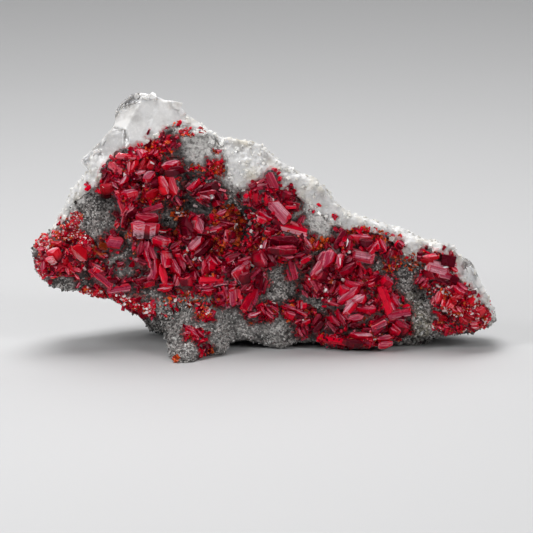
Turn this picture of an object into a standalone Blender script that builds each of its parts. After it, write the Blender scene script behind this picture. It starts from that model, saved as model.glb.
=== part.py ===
"""A realgar specimen: red prisms and druses on a grey, sugary quartz matrix backed by white calcite.

Units are metres, +Z up, and the crystal face looks along -Y. The specimen stands on a ledge-like foot and
on a flat break behind it, both at Z = 0, with the origin below the middle of its bounding box.

Places on the face are given as seen from the front, in columns and rows of a square reference picture,
and sizes there are in picture columns. The specimen's real width sets what one column measures.
"""

import math
import random

import bmesh
import bpy
from mathutils import Matrix, Vector, noise
from mathutils.bvhtree import BVHTree
from mathutils.kdtree import KDTree

MM = 0.001

# The driving dimensions.
WIDTH = 120 * MM
FACE_Y = -6.8 * MM
BACK_Y = 21.2 * MM
FOOT_REACH = 16 * MM
GAP = 0.38 * MM
SWELL_VOXEL = 0.36 * MM
SHARPEST = 0.4
PINCH = 0.01 * MM
BACK_NARROWER = 0.2
BACK_LOWER = 0.4
BLOCK_STEPS = 6
CREST_DEPTH = 4 * MM
LIP_DEPTH = 7 * MM
LIP_PROUD = 0.9 * MM
LIP_OVERLAP = 3
STUB = 1 * MM
ROCK_VOXEL = 0.9 * MM
BED_VOXEL = 0.5 * MM
BED_RISE = 0.7 * MM
BED_THICKNESS = 1.1 * MM
ROCK_TRIANGLES = 2500
CALCITE_TRIANGLES = 900
CRYSTAL_TRIANGLES = 28

# The reference picture: the specimen spans PICTURE_SPAN columns, and is seen from a little above.
PICTURE_SPAN = 459.5
MIDDLE_COLUMN = 266.25
GROUND_ROW = 350
LOOK_DOWN = math.radians(12)
COLUMN = WIDTH / PICTURE_SPAN
SIGHT = Vector((0, math.cos(LOOK_DOWN), -math.sin(LOOK_DOWN)))
PICTURE_RIGHT = Vector((1, 0, 0))
PICTURE_UP = PICTURE_RIGHT.cross(SIGHT)

# The contact between the grey matrix and the white calcite on the face, from left to right.
CONTACT = (
    (59, 233), (66, 222), (74, 205), (82, 196), (92, 189), (101, 181), (110, 170), (124, 160), (138, 152),
    (147, 146), (156, 138), (172, 130), (188, 130), (200, 135), (212, 141), (221, 149), (228, 160),
    (230, 176), (236, 187), (248, 192), (262, 186), (278, 185), (290, 191), (304, 202), (322, 213),
    (336, 224), (348, 230), (362, 231), (377, 235), (391, 241), (399, 249), (409, 255), (428, 257),
    (447, 258), (456, 265), (455, 276), (458, 286), (468, 294), (478, 302), (488, 310),
)  # fmt: skip

# The rest of the matrix's outline, clockwise from its right tip to its left tip.
MATRIX_UNDERSIDE = (
    (501, 319), (487, 332), (470, 336), (452, 337), (436, 339), (425, 336), (412, 334), (399, 341),
    (380, 345), (350, 347), (330, 346), (318, 345), (300, 346), (285, 349), (272, 347), (262, 343),
    (248, 340), (236, 342), (226, 348), (212, 350), (190, 350), (172, 346), (163, 332), (161, 322),
    (150, 319), (135, 317), (128, 310), (117, 304), (100, 300), (85, 296), (75, 293), (62, 290),
    (50, 287), (43, 282), (35, 271), (38, 247), (47, 241),
)  # fmt: skip

# The calcite's upper edge, which is the specimen's skyline, from left to right.
SKYLINE = (
    (53, 240), (56, 226), (62, 215), (67, 203), (76, 188), (86, 177), (95, 171), (81, 162), (92, 151),
    (103, 140), (110, 134), (115, 126), (114, 111), (124, 100), (137, 90), (149, 92), (153, 88), (158, 90),
    (162, 97), (178, 98), (183, 100), (185, 111), (196, 120), (206, 126), (222, 136), (229, 141), (238, 140),
    (262, 145), (268, 158), (284, 171), (300, 178), (310, 179), (324, 190), (332, 199), (340, 209),
    (348, 214), (364, 219), (380, 223), (396, 226), (404, 232), (420, 239), (436, 243), (455, 247),
    (453, 252), (462, 257), (473, 267), (477, 280), (482, 292), (488, 294), (493, 305),
)  # fmt: skip

# The calcite's hidden lower edge inside the rock, from right to left.
CALCITE_ROOT = ((470, 312), (440, 296), (400, 282), (350, 268), (300, 250), (220, 238), (140, 238), (76, 250))

# Hollows and swellings of the face: column, row, radius in columns, and depth inwards.
FACE_RELIEF = (
    (244, 222, 28, 3.4 * MM),
    (176, 214, 22, 1.8 * MM),
    (112, 208, 22, 1.4 * MM),
    (305, 300, 24, 1.4 * MM),
    (424, 290, 16, 2.0 * MM),
    (62, 258, 34, -2.2 * MM),
    (150, 240, 34, -1.4 * MM),
    (284, 246, 34, -2.0 * MM),
    (360, 320, 48, -2.4 * MM),
    (418, 322, 18, -2.0 * MM),
    (411, 297, 9, -1.6 * MM),
    (464, 308, 34, -1.8 * MM),
    (205, 300, 44, -1.4 * MM),
)

# The lobes of the foot, as column, row, place in depth from the face, and half sizes.
FOOT_LOBES = (
    (199, 330, 1 * MM, (8.5 * MM, 6 * MM, 7 * MM)),
    (192, 341, -4 * MM, (7 * MM, 6.5 * MM, 5.2 * MM)),
    (187, 350, -8 * MM, (5.2 * MM, 5.4 * MM, 4 * MM)),
    (184, 358, 4 * MM - FOOT_REACH, (3.6 * MM, 4.4 * MM, 3 * MM)),
    (212, 342, -3 * MM, (5.5 * MM, 5.5 * MM, 4.5 * MM)),
    (212, 351, -3.5 * MM, (5 * MM, 4.6 * MM, 3 * MM)),
)

# The lobes of the heel, as middle and half sizes.
HEEL_LOBES = (
    ((-8 * MM, 11 * MM, 5 * MM), (26 * MM, 10.5 * MM, 7 * MM)),
    ((20 * MM, 8 * MM, 4 * MM), (20 * MM, 9 * MM, 6 * MM)),
    ((34 * MM, 3 * MM, 4 * MM), (12 * MM, 7 * MM, 6 * MM)),
)

# The flat breaks of the calcite's front, as column, row, place in depth from the face, and direction.
CALCITE_FACETS = (
    (128, 104, 2 * MM, (-0.55, -1, 0.35)),
    (140, 96, 4 * MM, (0.1, -0.9, 0.8)),
    (92, 160, 2 * MM, (-0.5, -1, 0.4)),
    (250, 150, 1.5 * MM, (0.15, -1, 0.5)),
)

# The flat breaks at the back of the calcite and of the matrix, as a point on each and its direction.
CALCITE_BREAKS = (
    ((26 * MM, BACK_Y - 3 * MM, 20 * MM), (0.34, 1, 0.15)),
    ((-34 * MM, BACK_Y - 1 * MM, 30 * MM), (-0.4, 1, 0.1)),
    ((-20 * MM, BACK_Y - 2 * MM, 42 * MM), (0.1, 1, 0.6)),
)
MATRIX_BREAKS = (
    ((30 * MM, BACK_Y - 4 * MM, 0), (0.34, 1, 0)),
    ((-34 * MM, BACK_Y - 2 * MM, 0), (-0.5, 1, 0)),
)

# Realgar crystals, cluster by cluster. Each is the outline of the face it shows: its middle's column and
# row, its length and width in columns, and its turn in degrees, counter-clockwise from level.
CLUSTERS = {
    "realgar_left_end": (
        (55, 252, 14, 12, 20), (66, 256, 15, 6, 74), (80, 252, 20, 14, -40), (60, 266, 14, 7, 30),
        (51, 259, 16, 6, -45), (47, 266, 12, 10, 80), (69, 269, 10, 6, 105), (57, 244, 12, 8, 10),
        (76, 270, 11, 7, -30), (50, 273, 10, 6, 20), (66, 225, 13, 8, 60), (71, 236, 13, 8, -25),
        (82, 241, 11, 7, -35),
    ),
    "realgar_left_block": ((115, 242, 17, 13, -8), (104, 245, 10, 9, -15), (99, 252, 17, 5, -33)),
    "realgar_left_bars": (
        (101, 278, 30, 7, -40), (119, 289, 25, 8, 10), (97, 266, 13, 6, -30), (98, 293, 15, 7, -12),
        (123, 301, 18, 6, -22), (135, 306, 14, 6, -15), (147, 309, 14, 9, 5),
    ),
    "realgar_left_column": (
        (155, 141, 27, 6, 22), (154, 152, 15, 8, 10), (171, 147, 15, 5, 38), (127, 156, 21, 7, -5),
        (144, 164, 16, 11, 60), (142, 154, 11, 8, 110), (153, 165, 13, 5, -70), (131, 168, 15, 7, 85),
        (116, 168, 17, 9, -45), (111, 176, 19, 6, -30), (107, 187, 13, 12, 10), (125, 181, 13, 9, 50),
        (117, 181, 12, 8, -30), (151, 178, 14, 14, 30), (141, 173, 12, 8, 15), (130, 194, 18, 10, 5),
        (118, 192, 10, 7, -20), (172, 166, 20, 10, 15), (171, 185, 22, 14, -70), (177, 200, 13, 6, -60),
        (154, 193, 15, 10, 20), (124, 208, 20, 6, -68), (150, 209, 27, 6, 18), (147, 219, 24, 15, -5),
        (132, 212, 13, 8, 30), (124, 221, 14, 5, 80),
    ),
    "realgar_left_tail": (
        (139, 233, 15, 6, 12), (160, 240, 20, 13, -15), (143, 247, 16, 11, 80), (151, 251, 23, 8, -70),
        (142, 262, 17, 12, -12), (157, 266, 26, 12, 88), (143, 280, 20, 7, 12), (153, 277, 13, 8, 40),
    ),
    "realgar_top_fleck": ((216, 168, 14, 9, -20),),
    "realgar_upper_middle": (
        (195, 186, 16, 10, 40), (208, 187, 24, 9, 20), (204, 196, 15, 9, -30), (219, 197, 12, 7, -60),
    ),
    "realgar_centre": (
        (198, 225, 18, 14, -75), (186, 231, 19, 6, 42), (177, 244, 17, 7, 38), (196, 244, 20, 12, 45),
        (214, 229, 15, 7, 10), (226, 221, 17, 8, 0), (222, 213, 11, 8, 20), (226, 237, 14, 8, 85),
        (189, 260, 19, 7, -62), (180, 262, 18, 10, -75), (200, 259, 11, 6, -60), (208, 259, 12, 6, 55),
        (205, 267, 14, 10, 90), (217, 259, 15, 6, -45), (233, 257, 18, 7, 18), (222, 272, 20, 6, 20),
        (211, 280, 25, 8, 2), (176, 280, 12, 6, 75), (167, 285, 15, 7, 0), (186, 281, 15, 12, 0),
        (206, 288, 16, 7, 5), (251, 277, 26, 5, 42), (259, 280, 18, 9, 80), (222, 298, 16, 7, -75),
        (233, 297, 18, 9, -85), (249, 299, 27, 8, 60), (245, 286, 14, 8, 50), (240, 272, 18, 14, 30),
        (246, 260, 14, 9, 20),
    ),
    "realgar_centre_right": (
        (272, 181, 18, 9, -65), (261, 187, 18, 7, 12), (247, 197, 13, 7, 80), (256, 198, 14, 8, 85),
        (268, 198, 12, 7, -50), (286, 195, 13, 9, -20), (292, 204, 16, 7, -10), (279, 211, 27, 13, -48),
        (266, 215, 16, 7, -30), (293, 230, 29, 8, -14), (272, 231, 13, 8, -15), (285, 240, 30, 13, -5),
        (267, 244, 13, 7, 70), (306, 243, 14, 8, -50), (275, 254, 15, 6, 45), (270, 256, 22, 13, -65),
        (301, 255, 17, 6, 18), (289, 252, 16, 10, 5), (293, 269, 21, 7, -75),
    ),
    "realgar_right": (
        (331, 258, 20, 15, 70), (319, 268, 22, 12, 55), (328, 272, 14, 6, -60), (340, 238, 18, 6, 58),
        (347, 243, 12, 5, 85), (360, 237, 22, 8, -5), (371, 246, 13, 7, 50), (382, 245, 15, 7, -65),
        (362, 256, 24, 12, -12), (359, 274, 14, 9, -75), (352, 284, 17, 12, -20), (334, 288, 13, 7, 60),
        (306, 287, 14, 8, -50), (317, 285, 16, 10, -60), (371, 281, 14, 6, 25), (394, 243, 16, 9, 35),
        (389, 254, 14, 6, 70), (345, 262, 16, 10, 20), (333, 304, 18, 7, -20), (350, 298, 26, 14, 40),
        (365, 308, 20, 8, -4), (341, 319, 20, 9, -65), (334, 325, 17, 9, -50), (319, 326, 16, 8, 50),
        (385, 299, 32, 10, -70), (387, 281, 13, 10, -40), (395, 302, 14, 8, -60), (398, 314, 26, 8, 10),
        (401, 326, 18, 12, -30), (379, 325, 18, 7, 28), (362, 335, 24, 10, -8), (384, 338, 17, 9, 5),
        (333, 340, 32, 7, -6), (362, 342, 26, 7, 0), (357, 318, 16, 10, 10),
    ),
    "realgar_star_left": ((255, 315, 15, 7, 20), (268, 310, 14, 7, -50)),
    "realgar_star_right": ((290, 309, 14, 7, -15), (300, 313, 17, 6, -25), (301, 320, 14, 6, 30)),
    "realgar_lower_drop": ((303, 332, 11, 8, -60),),
    "realgar_foot_rosette": ((191, 332, 12, 7, -20), (200, 335, 12, 7, -50)),
    "realgar_foot_bead": ((205, 350, 9, 8, 20),),
    "realgar_foot_druse": ((205, 314, 13, 10, 30),),
    "realgar_right_crystals": (
        (430, 256, 18, 7, 5), (446, 259, 15, 12, -40), (437, 267, 22, 12, -15), (447, 275, 20, 8, -15),
        (423, 279, 11, 7, 50), (430, 272, 14, 8, -65), (452, 283, 12, 7, 40),
    ),
    "realgar_right_druse": (
        (465, 291, 14, 8, -35), (457, 300, 18, 11, -30), (470, 303, 16, 9, -35), (447, 309, 18, 11, -30),
        (461, 313, 17, 10, 10), (478, 312, 16, 9, -40), (452, 323, 18, 9, -20), (470, 324, 18, 9, 10),
        (440, 297, 13, 9, 70),
    ),
}  # fmt: skip


def on_face(column, row, y=FACE_Y):
    """The point at depth y that shows at this column and row of the picture."""
    up = (GROUND_ROW - row) * COLUMN
    z = (up - (y - FACE_Y) * math.sin(LOOK_DOWN)) / math.cos(LOOK_DOWN)
    return Vector(((column - MIDDLE_COLUMN) * COLUMN, y, z))


def new_object(name, bm):
    """An object with this bmesh's faces as triangles that point outwards."""
    bmesh.ops.triangulate(bm, faces=bm.faces)
    bmesh.ops.recalc_face_normals(bm, faces=bm.faces)
    mesh = bpy.data.meshes.new(name)
    bm.to_mesh(mesh)
    bm.free()
    made = bpy.data.objects.new(name, mesh)
    bpy.context.scene.collection.objects.link(made)
    return made


def remove(*helpers):
    for helper in helpers:
        bpy.data.objects.remove(helper)


def settle(made):
    """Bakes an object's modifiers into its mesh."""
    bpy.context.view_layer.update()
    graph = bpy.context.evaluated_depsgraph_get()
    mesh = bpy.data.meshes.new_from_object(made.evaluated_get(graph), depsgraph=graph)
    old = made.data
    made.modifiers.clear()
    made.data = mesh
    bpy.data.meshes.remove(old)
    return made


def triangulated(made):
    """Splits every face to triangles, which are flat however their corners are rounded."""
    bm = bmesh.new()
    bm.from_mesh(made.data)
    bmesh.ops.triangulate(bm, faces=bm.faces)
    bm.to_mesh(made.data)
    bm.free()
    return made


def open_edges(mesh):
    """How many edges of this mesh don't lie between exactly two faces."""
    bm = bmesh.new()
    bm.from_mesh(mesh)
    count = sum(1 for edge in bm.edges if len(edge.link_faces) != 2)
    bm.free()
    return count


def boolean(made, other, operation):
    """Joins another solid to this one or cuts it away, with the second solver where the first leaves gaps."""
    before = made.data.copy()
    for solver in ("EXACT", "MANIFOLD"):
        cut = made.modifiers.new(operation.lower(), "BOOLEAN")
        cut.operation = operation
        cut.solver = solver
        cut.use_self = solver == "EXACT"
        cut.object = other
        triangulated(settle(made))
        left_open = open_edges(made.data)
        if left_open == 0:
            break
        print(made.name, operation, other.name, solver, "left open", left_open)
        if solver == "EXACT":
            made.data = before.copy()
    bpy.data.meshes.remove(before)
    return made


def remeshed(made, voxel):
    step = made.modifiers.new("remesh", "REMESH")
    step.mode = "VOXEL"
    step.voxel_size = voxel
    return settle(made)


def smoothed(made, rounds):
    step = made.modifiers.new("smooth", "SMOOTH")
    step.factor = 0.5
    step.iterations = rounds
    return settle(made)


def triangles(made):
    made.data.calc_loop_triangles()
    return len(made.data.loop_triangles)


def surface_of(solids):
    """The joint surface of these solids, for finding places on it."""
    bm = bmesh.new()
    for solid in solids:
        bm.from_mesh(solid.data)
    tree = BVHTree.FromBMesh(bm)
    bm.free()
    return tree


def decimated(made, wanted):
    """Reduces the mesh to about this many triangles, which keeps flats large and bumps fine."""
    step = made.modifiers.new("decimate", "DECIMATE")
    step.ratio = min(1.0, wanted / triangles(made))
    return settle(made)


def islands_of(bm):
    """The mesh's groups of faces that edges join, from the smallest to the largest."""
    islands, seen = [], set()
    for start in bm.faces:
        if start in seen:
            continue
        island, front = [], [start]
        seen.add(start)
        while front:
            face = front.pop()
            island.append(face)
            for edge in face.edges:
                for other in edge.link_faces if len(edge.link_faces) == 2 else ():
                    if other not in seen:
                        seen.add(other)
                        front.append(other)
        islands.append(island)
    return sorted(islands, key=len)


def part_pinches(bm):
    """Moves apart the places where two sheets of a solid would meet in a point or along an edge."""
    bm.verts.ensure_lookup_table()
    tree = KDTree(len(bm.verts))
    for vertex in bm.verts:
        tree.insert(vertex.co, vertex.index)
    tree.balance()
    bm.normal_update()
    pinched = [vertex for vertex in bm.verts if len(tree.find_range(vertex.co, PINCH)) > 1]
    for vertex in pinched:
        vertex.co -= vertex.normal * 6 * PINCH
    return len(pinched)


def main_body(made):
    """Keeps a solid's largest island without the chips and pockets that a cut can leave beside it."""
    bm = bmesh.new()
    bm.from_mesh(made.data)
    islands = islands_of(bm)
    chips = [face for island in islands[:-1] for face in island]
    bmesh.ops.delete(bm, geom=chips, context="FACES")
    bmesh.ops.dissolve_limit(bm, angle_limit=math.radians(1), verts=bm.verts, edges=bm.edges)
    bmesh.ops.triangulate(bm, faces=bm.faces)
    part_pinches(bm)
    bmesh.ops.recalc_face_normals(bm, faces=bm.faces)
    if bm.calc_volume(signed=True) < 0:
        bmesh.ops.reverse_faces(bm, faces=bm.faces)
    bm.to_mesh(made.data)
    bm.free()
    print(made.name, "triangles", triangles(made), "chips", [len(island) for island in islands[:-1]])
    return made


def sliced(made, cuts):
    """Breaks flat faces off a solid. Each cut is a point and the direction of what is cut away."""
    bm = bmesh.new()
    bm.from_mesh(made.data)
    for point, direction in cuts:
        everything = bm.verts[:] + bm.edges[:] + bm.faces[:]
        bmesh.ops.bisect_plane(
            bm, geom=everything, plane_co=point, plane_no=direction, clear_outer=True
        )
        bmesh.ops.holes_fill(bm, edges=[edge for edge in bm.edges if edge.is_boundary])
    bmesh.ops.triangulate(bm, faces=bm.faces)
    bmesh.ops.recalc_face_normals(bm, faces=bm.faces)
    bm.to_mesh(made.data)
    bm.free()
    return made


def broken(breaks):
    """The cuts for these breaks, each a point and a direction."""
    return [(Vector(point), Vector(direction)) for point, direction in breaks]


def fallen_away(y):
    """How much narrower and lower the rock is at depth y: its ends and its top fall away behind the crest."""
    behind = max(0.0, (y - FACE_Y - CREST_DEPTH) / (BACK_Y - FACE_Y - CREST_DEPTH))
    return 1 - BACK_NARROWER * behind * behind, 1 - BACK_LOWER * behind


def block(name, outline, front, back):
    """A block from depth front to depth back with the picture's outline, which falls away backwards."""
    bm = bmesh.new()
    corners = [on_face(column, row) for column, row in outline]
    rings = []
    for step in range(BLOCK_STEPS + 1):
        y = front + step * (back - front) / BLOCK_STEPS
        narrower, lower = fallen_away(y)
        rings.append([bm.verts.new((p.x * narrower, y, p.z * lower)) for p in corners])
    bm.faces.new(rings[0])
    bm.faces.new(rings[-1])
    for near, far in zip(rings, rings[1:]):
        for i in range(len(near)):
            j = (i + 1) % len(near)
            bm.faces.new((near[i], near[j], far[j], far[i]))
    return new_object(name, bm)


def lump(bm, centre, radii):
    """A rounded lump, as an ellipsoid with these half sizes."""
    place = Matrix.Translation(centre) @ Matrix.Diagonal((*radii, 1))
    bmesh.ops.create_icosphere(bm, subdivisions=2, radius=1, matrix=place)


def rough(point, size, seed):
    """Smooth noise from -1 to 1 whose bumps are about this size."""
    return noise.noise(point / size + Vector((seed, 2 * seed, 3 * seed)))


def ledges(point, size, seed):
    """Broken steps from -1 to 1: cells of about this size, each with a height of its own."""
    _, cells = noise.voronoi(point / size + Vector((seed, 0, seed)))
    return noise.noise(cells[0] * 7.3)


def displaced(made, height):
    """Moves each point of a mesh along its normal by height(point, normal)."""
    moves = [vertex.normal * height(vertex.co, vertex.normal) for vertex in made.data.vertices]
    for vertex, move in zip(made.data.vertices, moves):
        vertex.co += move
    made.data.update()
    return made


def swollen(made, gap, wanted):
    """A hidden copy of a rock whose faces all lie a gap further out, to cut its neighbours with."""
    bm = bmesh.new()
    bm.from_mesh(made.data)
    moves = []
    for vertex in bm.verts:
        least = min(face.normal.dot(vertex.normal) for face in vertex.link_faces)
        moves.append(vertex.normal * gap / max(SHARPEST, least))
    for vertex, move in zip(bm.verts, moves):
        vertex.co += move
    copy = remeshed(new_object(made.name + "_swollen", bm), SWELL_VOXEL)
    decimated(copy, wanted)
    copy.hide_render = True
    copy.display_type = "WIRE"
    return copy


def relief(point):
    """How far the named hollows and swellings move this point of the face inwards."""
    depth = 0.0
    for column, row, radius, inwards in FACE_RELIEF:
        away = (point - on_face(column, row)).length / (radius * COLUMN)
        if away < 1:
            depth += inwards * (1 - away * away) ** 2
    return depth


def matrix_height(point, normal):
    """The matrix's relief: broad swells, granular lumps, and the named hollows of its face."""
    height = 1.2 * MM * rough(point, 15 * MM, 1.3) + 0.9 * MM * rough(point, 6 * MM, 4.1)
    height += 0.9 * MM * ledges(point, 5 * MM, 2.7)
    if normal.y < 0.2 and point.y < FACE_Y + 10 * MM:
        height -= relief(point)
    return height


def calcite_height(point, normal):
    """The calcite's relief: the matrix's broad swells, with angular cleavage steps of its own."""
    height = 1.2 * MM * rough(point, 15 * MM, 1.3) + 0.5 * MM * rough(point, 6 * MM, 4.1)
    return height + 0.7 * MM * ledges(point, 5.5 * MM, 5.2)


def foot_lumps():
    """The lobes of the ledge that steps forward from the matrix and carries it in front."""
    bm = bmesh.new()
    for column, row, depth, radii in FOOT_LOBES:
        lump(bm, on_face(column, row, FACE_Y + depth), radii)
    return new_object("foot_lumps", bm)


def heel_lumps():
    """The thick lower back, which reaches below the resting plane and is broken off flat there."""
    bm = bmesh.new()
    for centre, radii in HEEL_LOBES:
        lump(bm, Vector(centre), radii)
    return new_object("heel_lumps", bm)


def calcite_solid():
    """The white layer: the crest at the upper left, the bright upper rim, and the upper back."""
    visible = SKYLINE + tuple(reversed(CONTACT))
    made = block("calcite_layer", visible, FACE_Y - LIP_PROUD, FACE_Y + LIP_DEPTH + STUB)
    back = block("calcite_back", SKYLINE + CALCITE_ROOT, FACE_Y + LIP_DEPTH, BACK_Y)
    boolean(made, back, "UNION")
    remove(back)
    remeshed(made, ROCK_VOXEL)
    smoothed(made, 1)
    displaced(made, calcite_height)
    facets = [
        (on_face(column, row, FACE_Y + depth), Vector(direction))
        for column, row, depth, direction in CALCITE_FACETS
    ]
    sliced(made, facets + broken(CALCITE_BREAKS))
    remeshed(made, ROCK_VOXEL)
    decimated(made, CALCITE_TRIANGLES)
    return main_body(made)


def matrix_solid(calcite_room):
    """The grey rock: its face, foot and heel, with the calcite's place cut out of its upper back."""
    over_contact = tuple((column, row - LIP_OVERLAP) for column, row in CONTACT)
    made = block("matrix_rock", over_contact + MATRIX_UNDERSIDE, FACE_Y, BACK_Y)
    for lumps in (foot_lumps(), heel_lumps()):
        boolean(made, lumps, "UNION")
        remove(lumps)
    remeshed(made, ROCK_VOXEL)
    smoothed(made, 3)
    remeshed(displaced(made, matrix_height), ROCK_VOXEL)
    sliced(made, broken(MATRIX_BREAKS + (((0, 0, -STUB), (0, 0, -1)),)))
    decimated(made, ROCK_TRIANGLES)
    boolean(made, calcite_room, "DIFFERENCE")
    main_body(made)
    decimated(made, ROCK_TRIANGLES)
    sliced(made, broken((((0, 0, 0), (0, 0, -1)),)))
    return main_body(made)


def crystal(length, width, rng):
    """One crystal along X with its middle at the origin: a six-sided prism with a wedge at each end."""
    bm = bmesh.new()
    along = Matrix.Rotation(math.radians(90), 4, "Y")
    bmesh.ops.create_cone(bm, cap_ends=True, segments=6, radius1=0.5, radius2=0.5, depth=1, matrix=along)
    roll = Matrix.Rotation(math.radians(rng.uniform(0, 60)), 4, "X")
    bmesh.ops.transform(bm, matrix=roll, verts=bm.verts)
    breadth = max(vertex.co.y for vertex in bm.verts) * 2
    bmesh.ops.scale(bm, vec=(length, width / breadth, width * rng.uniform(0.85, 1.05)), verts=bm.verts)
    for end in (-1, 1):
        across = rng.uniform(0, math.pi)
        for side, steepness in ((-1, rng.uniform(0.35, 0.9)), (1, rng.uniform(0.35, 0.9))):
            leaning = Vector((end, side * steepness * math.cos(across), side * steepness * math.sin(across)))
            everything = bm.verts[:] + bm.edges[:] + bm.faces[:]
            bmesh.ops.bisect_plane(
                bm, geom=everything, plane_co=(end * length / 2, 0, 0), plane_no=leaning, clear_outer=True
            )
            bmesh.ops.holes_fill(bm, edges=[edge for edge in bm.edges if edge.is_boundary])
    return bm


def seat(column, row, ground):
    """The point of the rock that shows at this column and row, and the direction that faces out of it."""
    hit, normal, _, _ = ground.ray_cast(on_face(column, row) - SIGHT * WIDTH, SIGHT)
    if hit is None:
        hit, normal, _, _ = ground.find_nearest(on_face(column, row))
    return hit, (normal - 2 * SIGHT).normalized()


def standing(column, row, turn, ground):
    """A frame on the rock: X along the crystal as it is seen, and Z out of the rock."""
    hit, out = seat(column, row, ground)
    angle = math.radians(turn)
    along = PICTURE_RIGHT * math.cos(angle) + PICTURE_UP * math.sin(angle)
    along = (along - out * along.dot(out)).normalized()
    frame = Matrix((along, out.cross(along), out)).transposed().to_4x4()
    return Matrix.Translation(hit) @ frame


def add(bm, part):
    """Adds another bmesh's faces to this one."""
    mesh = bpy.data.meshes.new("part")
    part.to_mesh(mesh)
    part.free()
    bm.from_mesh(mesh)
    bpy.data.meshes.remove(mesh)


def crystals_on(name, crystals, ground):
    """The cluster's crystals, each half sunk in the massive realgar and tipped a little."""
    bm = bmesh.new()
    for column, row, length, width, turn in crystals:
        rng = random.Random(f"{column} {row}")
        one = crystal(length * COLUMN, width * COLUMN, rng)
        rise = Matrix.Translation((0, 0, 0.12 * width * COLUMN + BED_RISE))
        dip = Matrix.Rotation(rng.uniform(-1, 1) * min(0.4, 3.2 / length), 4, "Y")
        place = standing(column, row, turn, ground) @ rise @ dip
        bmesh.ops.transform(one, matrix=place, verts=one.verts)
        add(bm, one)
    return new_object(name, bm)


def bed_of(name, crystals, ground):
    """The massive realgar that the crystals of a cluster grow from, as one low, lumpy crust."""
    bm = bmesh.new()
    for column, row, length, width, turn in crystals:
        size = Matrix.Diagonal(
            (
                0.5 * length * COLUMN + 0.8 * MM,
                0.5 * width * COLUMN + BED_THICKNESS,
                0.08 * width * COLUMN + BED_THICKNESS,
                1,
            )
        )
        place = standing(column, row, turn, ground) @ size
        bmesh.ops.create_icosphere(bm, subdivisions=2, radius=1, matrix=place)
    made = remeshed(new_object(name + "_bed", bm), BED_VOXEL)
    smoothed(made, 1)
    return decimated(made, 7 * len(crystals) + 20)


def cluster_solid(name, crystals, ground, rooms, trims):
    """One intergrown group: its crystals and their crust, fitted over the rock with a small gap."""
    made = crystals_on(name, crystals, ground)
    if len(crystals) > 1:
        bed = bed_of(name, crystals, ground)
        boolean(made, bed, "UNION")
        remove(bed)
        main_body(made)
        decimated(made, 1.4 * CRYSTAL_TRIANGLES * len(crystals))
    for room in rooms:
        boolean(made, room, "DIFFERENCE")
    main_body(made)
    decimated(made, CRYSTAL_TRIANGLES * len(crystals) + 12)
    for trim in trims:
        boolean(made, trim, "DIFFERENCE")
    return main_body(made)


def painted(made, material):
    """Gives the whole solid this one material."""
    made.data.materials.clear()
    made.data.materials.append(material)
    for face in made.data.polygons:
        face.material_index = 0
    return made


def principled(name, colour, roughness):
    made = bpy.data.materials.new(name)
    made.use_nodes = True
    shader = made.node_tree.nodes["Principled BSDF"]
    shader.inputs["Base Color"].default_value = (*colour, 1)
    shader.inputs["Roughness"].default_value = roughness
    shader.inputs["Metallic"].default_value = 0
    return made


def main():
    for made in list(bpy.data.objects):
        bpy.data.objects.remove(made)
    calcite = calcite_solid()
    calcite_room = swollen(calcite, GAP, 1.5 * CALCITE_TRIANGLES)
    matrix = matrix_solid(calcite_room)
    trim = swollen(matrix, GAP / 2, 1.5 * ROCK_TRIANGLES)
    boolean(calcite, trim, "DIFFERENCE")
    main_body(calcite)
    rooms = (swollen(matrix, GAP, 1.2 * ROCK_TRIANGLES), calcite_room)
    trims = (trim, swollen(calcite, GAP / 2, 1.5 * CALCITE_TRIANGLES))
    painted(calcite, principled("white calcite", (0.72, 0.70, 0.66), 0.35))
    painted(matrix, principled("grey quartz rock", (0.21, 0.195, 0.19), 0.7))
    ground = surface_of((matrix, calcite))
    red = principled("red realgar", (0.36, 0.012, 0.02), 0.2)
    total = triangles(matrix) + triangles(calcite)
    for name, crystals in CLUSTERS.items():
        made = painted(cluster_solid(name, crystals, ground, rooms, trims), red)
        total += triangles(made)
    remove(*rooms, *trims)
    print("all triangles", total)
    points = [vertex.co for made in bpy.data.objects for vertex in made.data.vertices]
    for axis in range(3):
        print("span", axis, min(p[axis] for p in points) / MM, max(p[axis] for p in points) / MM)


main()
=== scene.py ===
# %% [markdown]
# # A realgar specimen
# Realgar is a soft arsenic sulphide that grows as deep red, glassy prisms. Here it covers the face of a grey,
# sugary quartz rock, with a thick layer of white calcite along the top and behind.
# The solids of the part come first. Everything made below is fitted over them, in the same place and size.

# %% Load the solids
import math
import random

import bmesh
import bpy
import numpy
from mathutils import Matrix, Vector, noise
from mathutils.bvhtree import BVHTree
from mathutils.kdtree import KDTree


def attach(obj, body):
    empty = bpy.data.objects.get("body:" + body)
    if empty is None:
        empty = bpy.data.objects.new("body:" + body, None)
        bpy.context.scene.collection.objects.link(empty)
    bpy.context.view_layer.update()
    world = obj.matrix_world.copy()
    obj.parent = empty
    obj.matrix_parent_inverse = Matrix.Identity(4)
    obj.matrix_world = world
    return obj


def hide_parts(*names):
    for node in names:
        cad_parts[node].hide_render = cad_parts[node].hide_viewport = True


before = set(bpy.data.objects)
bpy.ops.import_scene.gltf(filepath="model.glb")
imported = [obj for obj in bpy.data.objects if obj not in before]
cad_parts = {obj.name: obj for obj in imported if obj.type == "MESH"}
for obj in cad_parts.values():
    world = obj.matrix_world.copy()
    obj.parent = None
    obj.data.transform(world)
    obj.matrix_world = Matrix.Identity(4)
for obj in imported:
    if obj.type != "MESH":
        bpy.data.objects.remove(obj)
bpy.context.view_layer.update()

MM = 0.001
print("solids", len(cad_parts))

# %% [markdown]
# ## The view
# The photograph looks at the face from a little above with a long lens. A place on the face can then be named
# by its column and row in the picture, and one column measures nearly the same everywhere. Places could also
# be measured in millimetres, but named like this they are easy to compare with the photograph.

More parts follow.
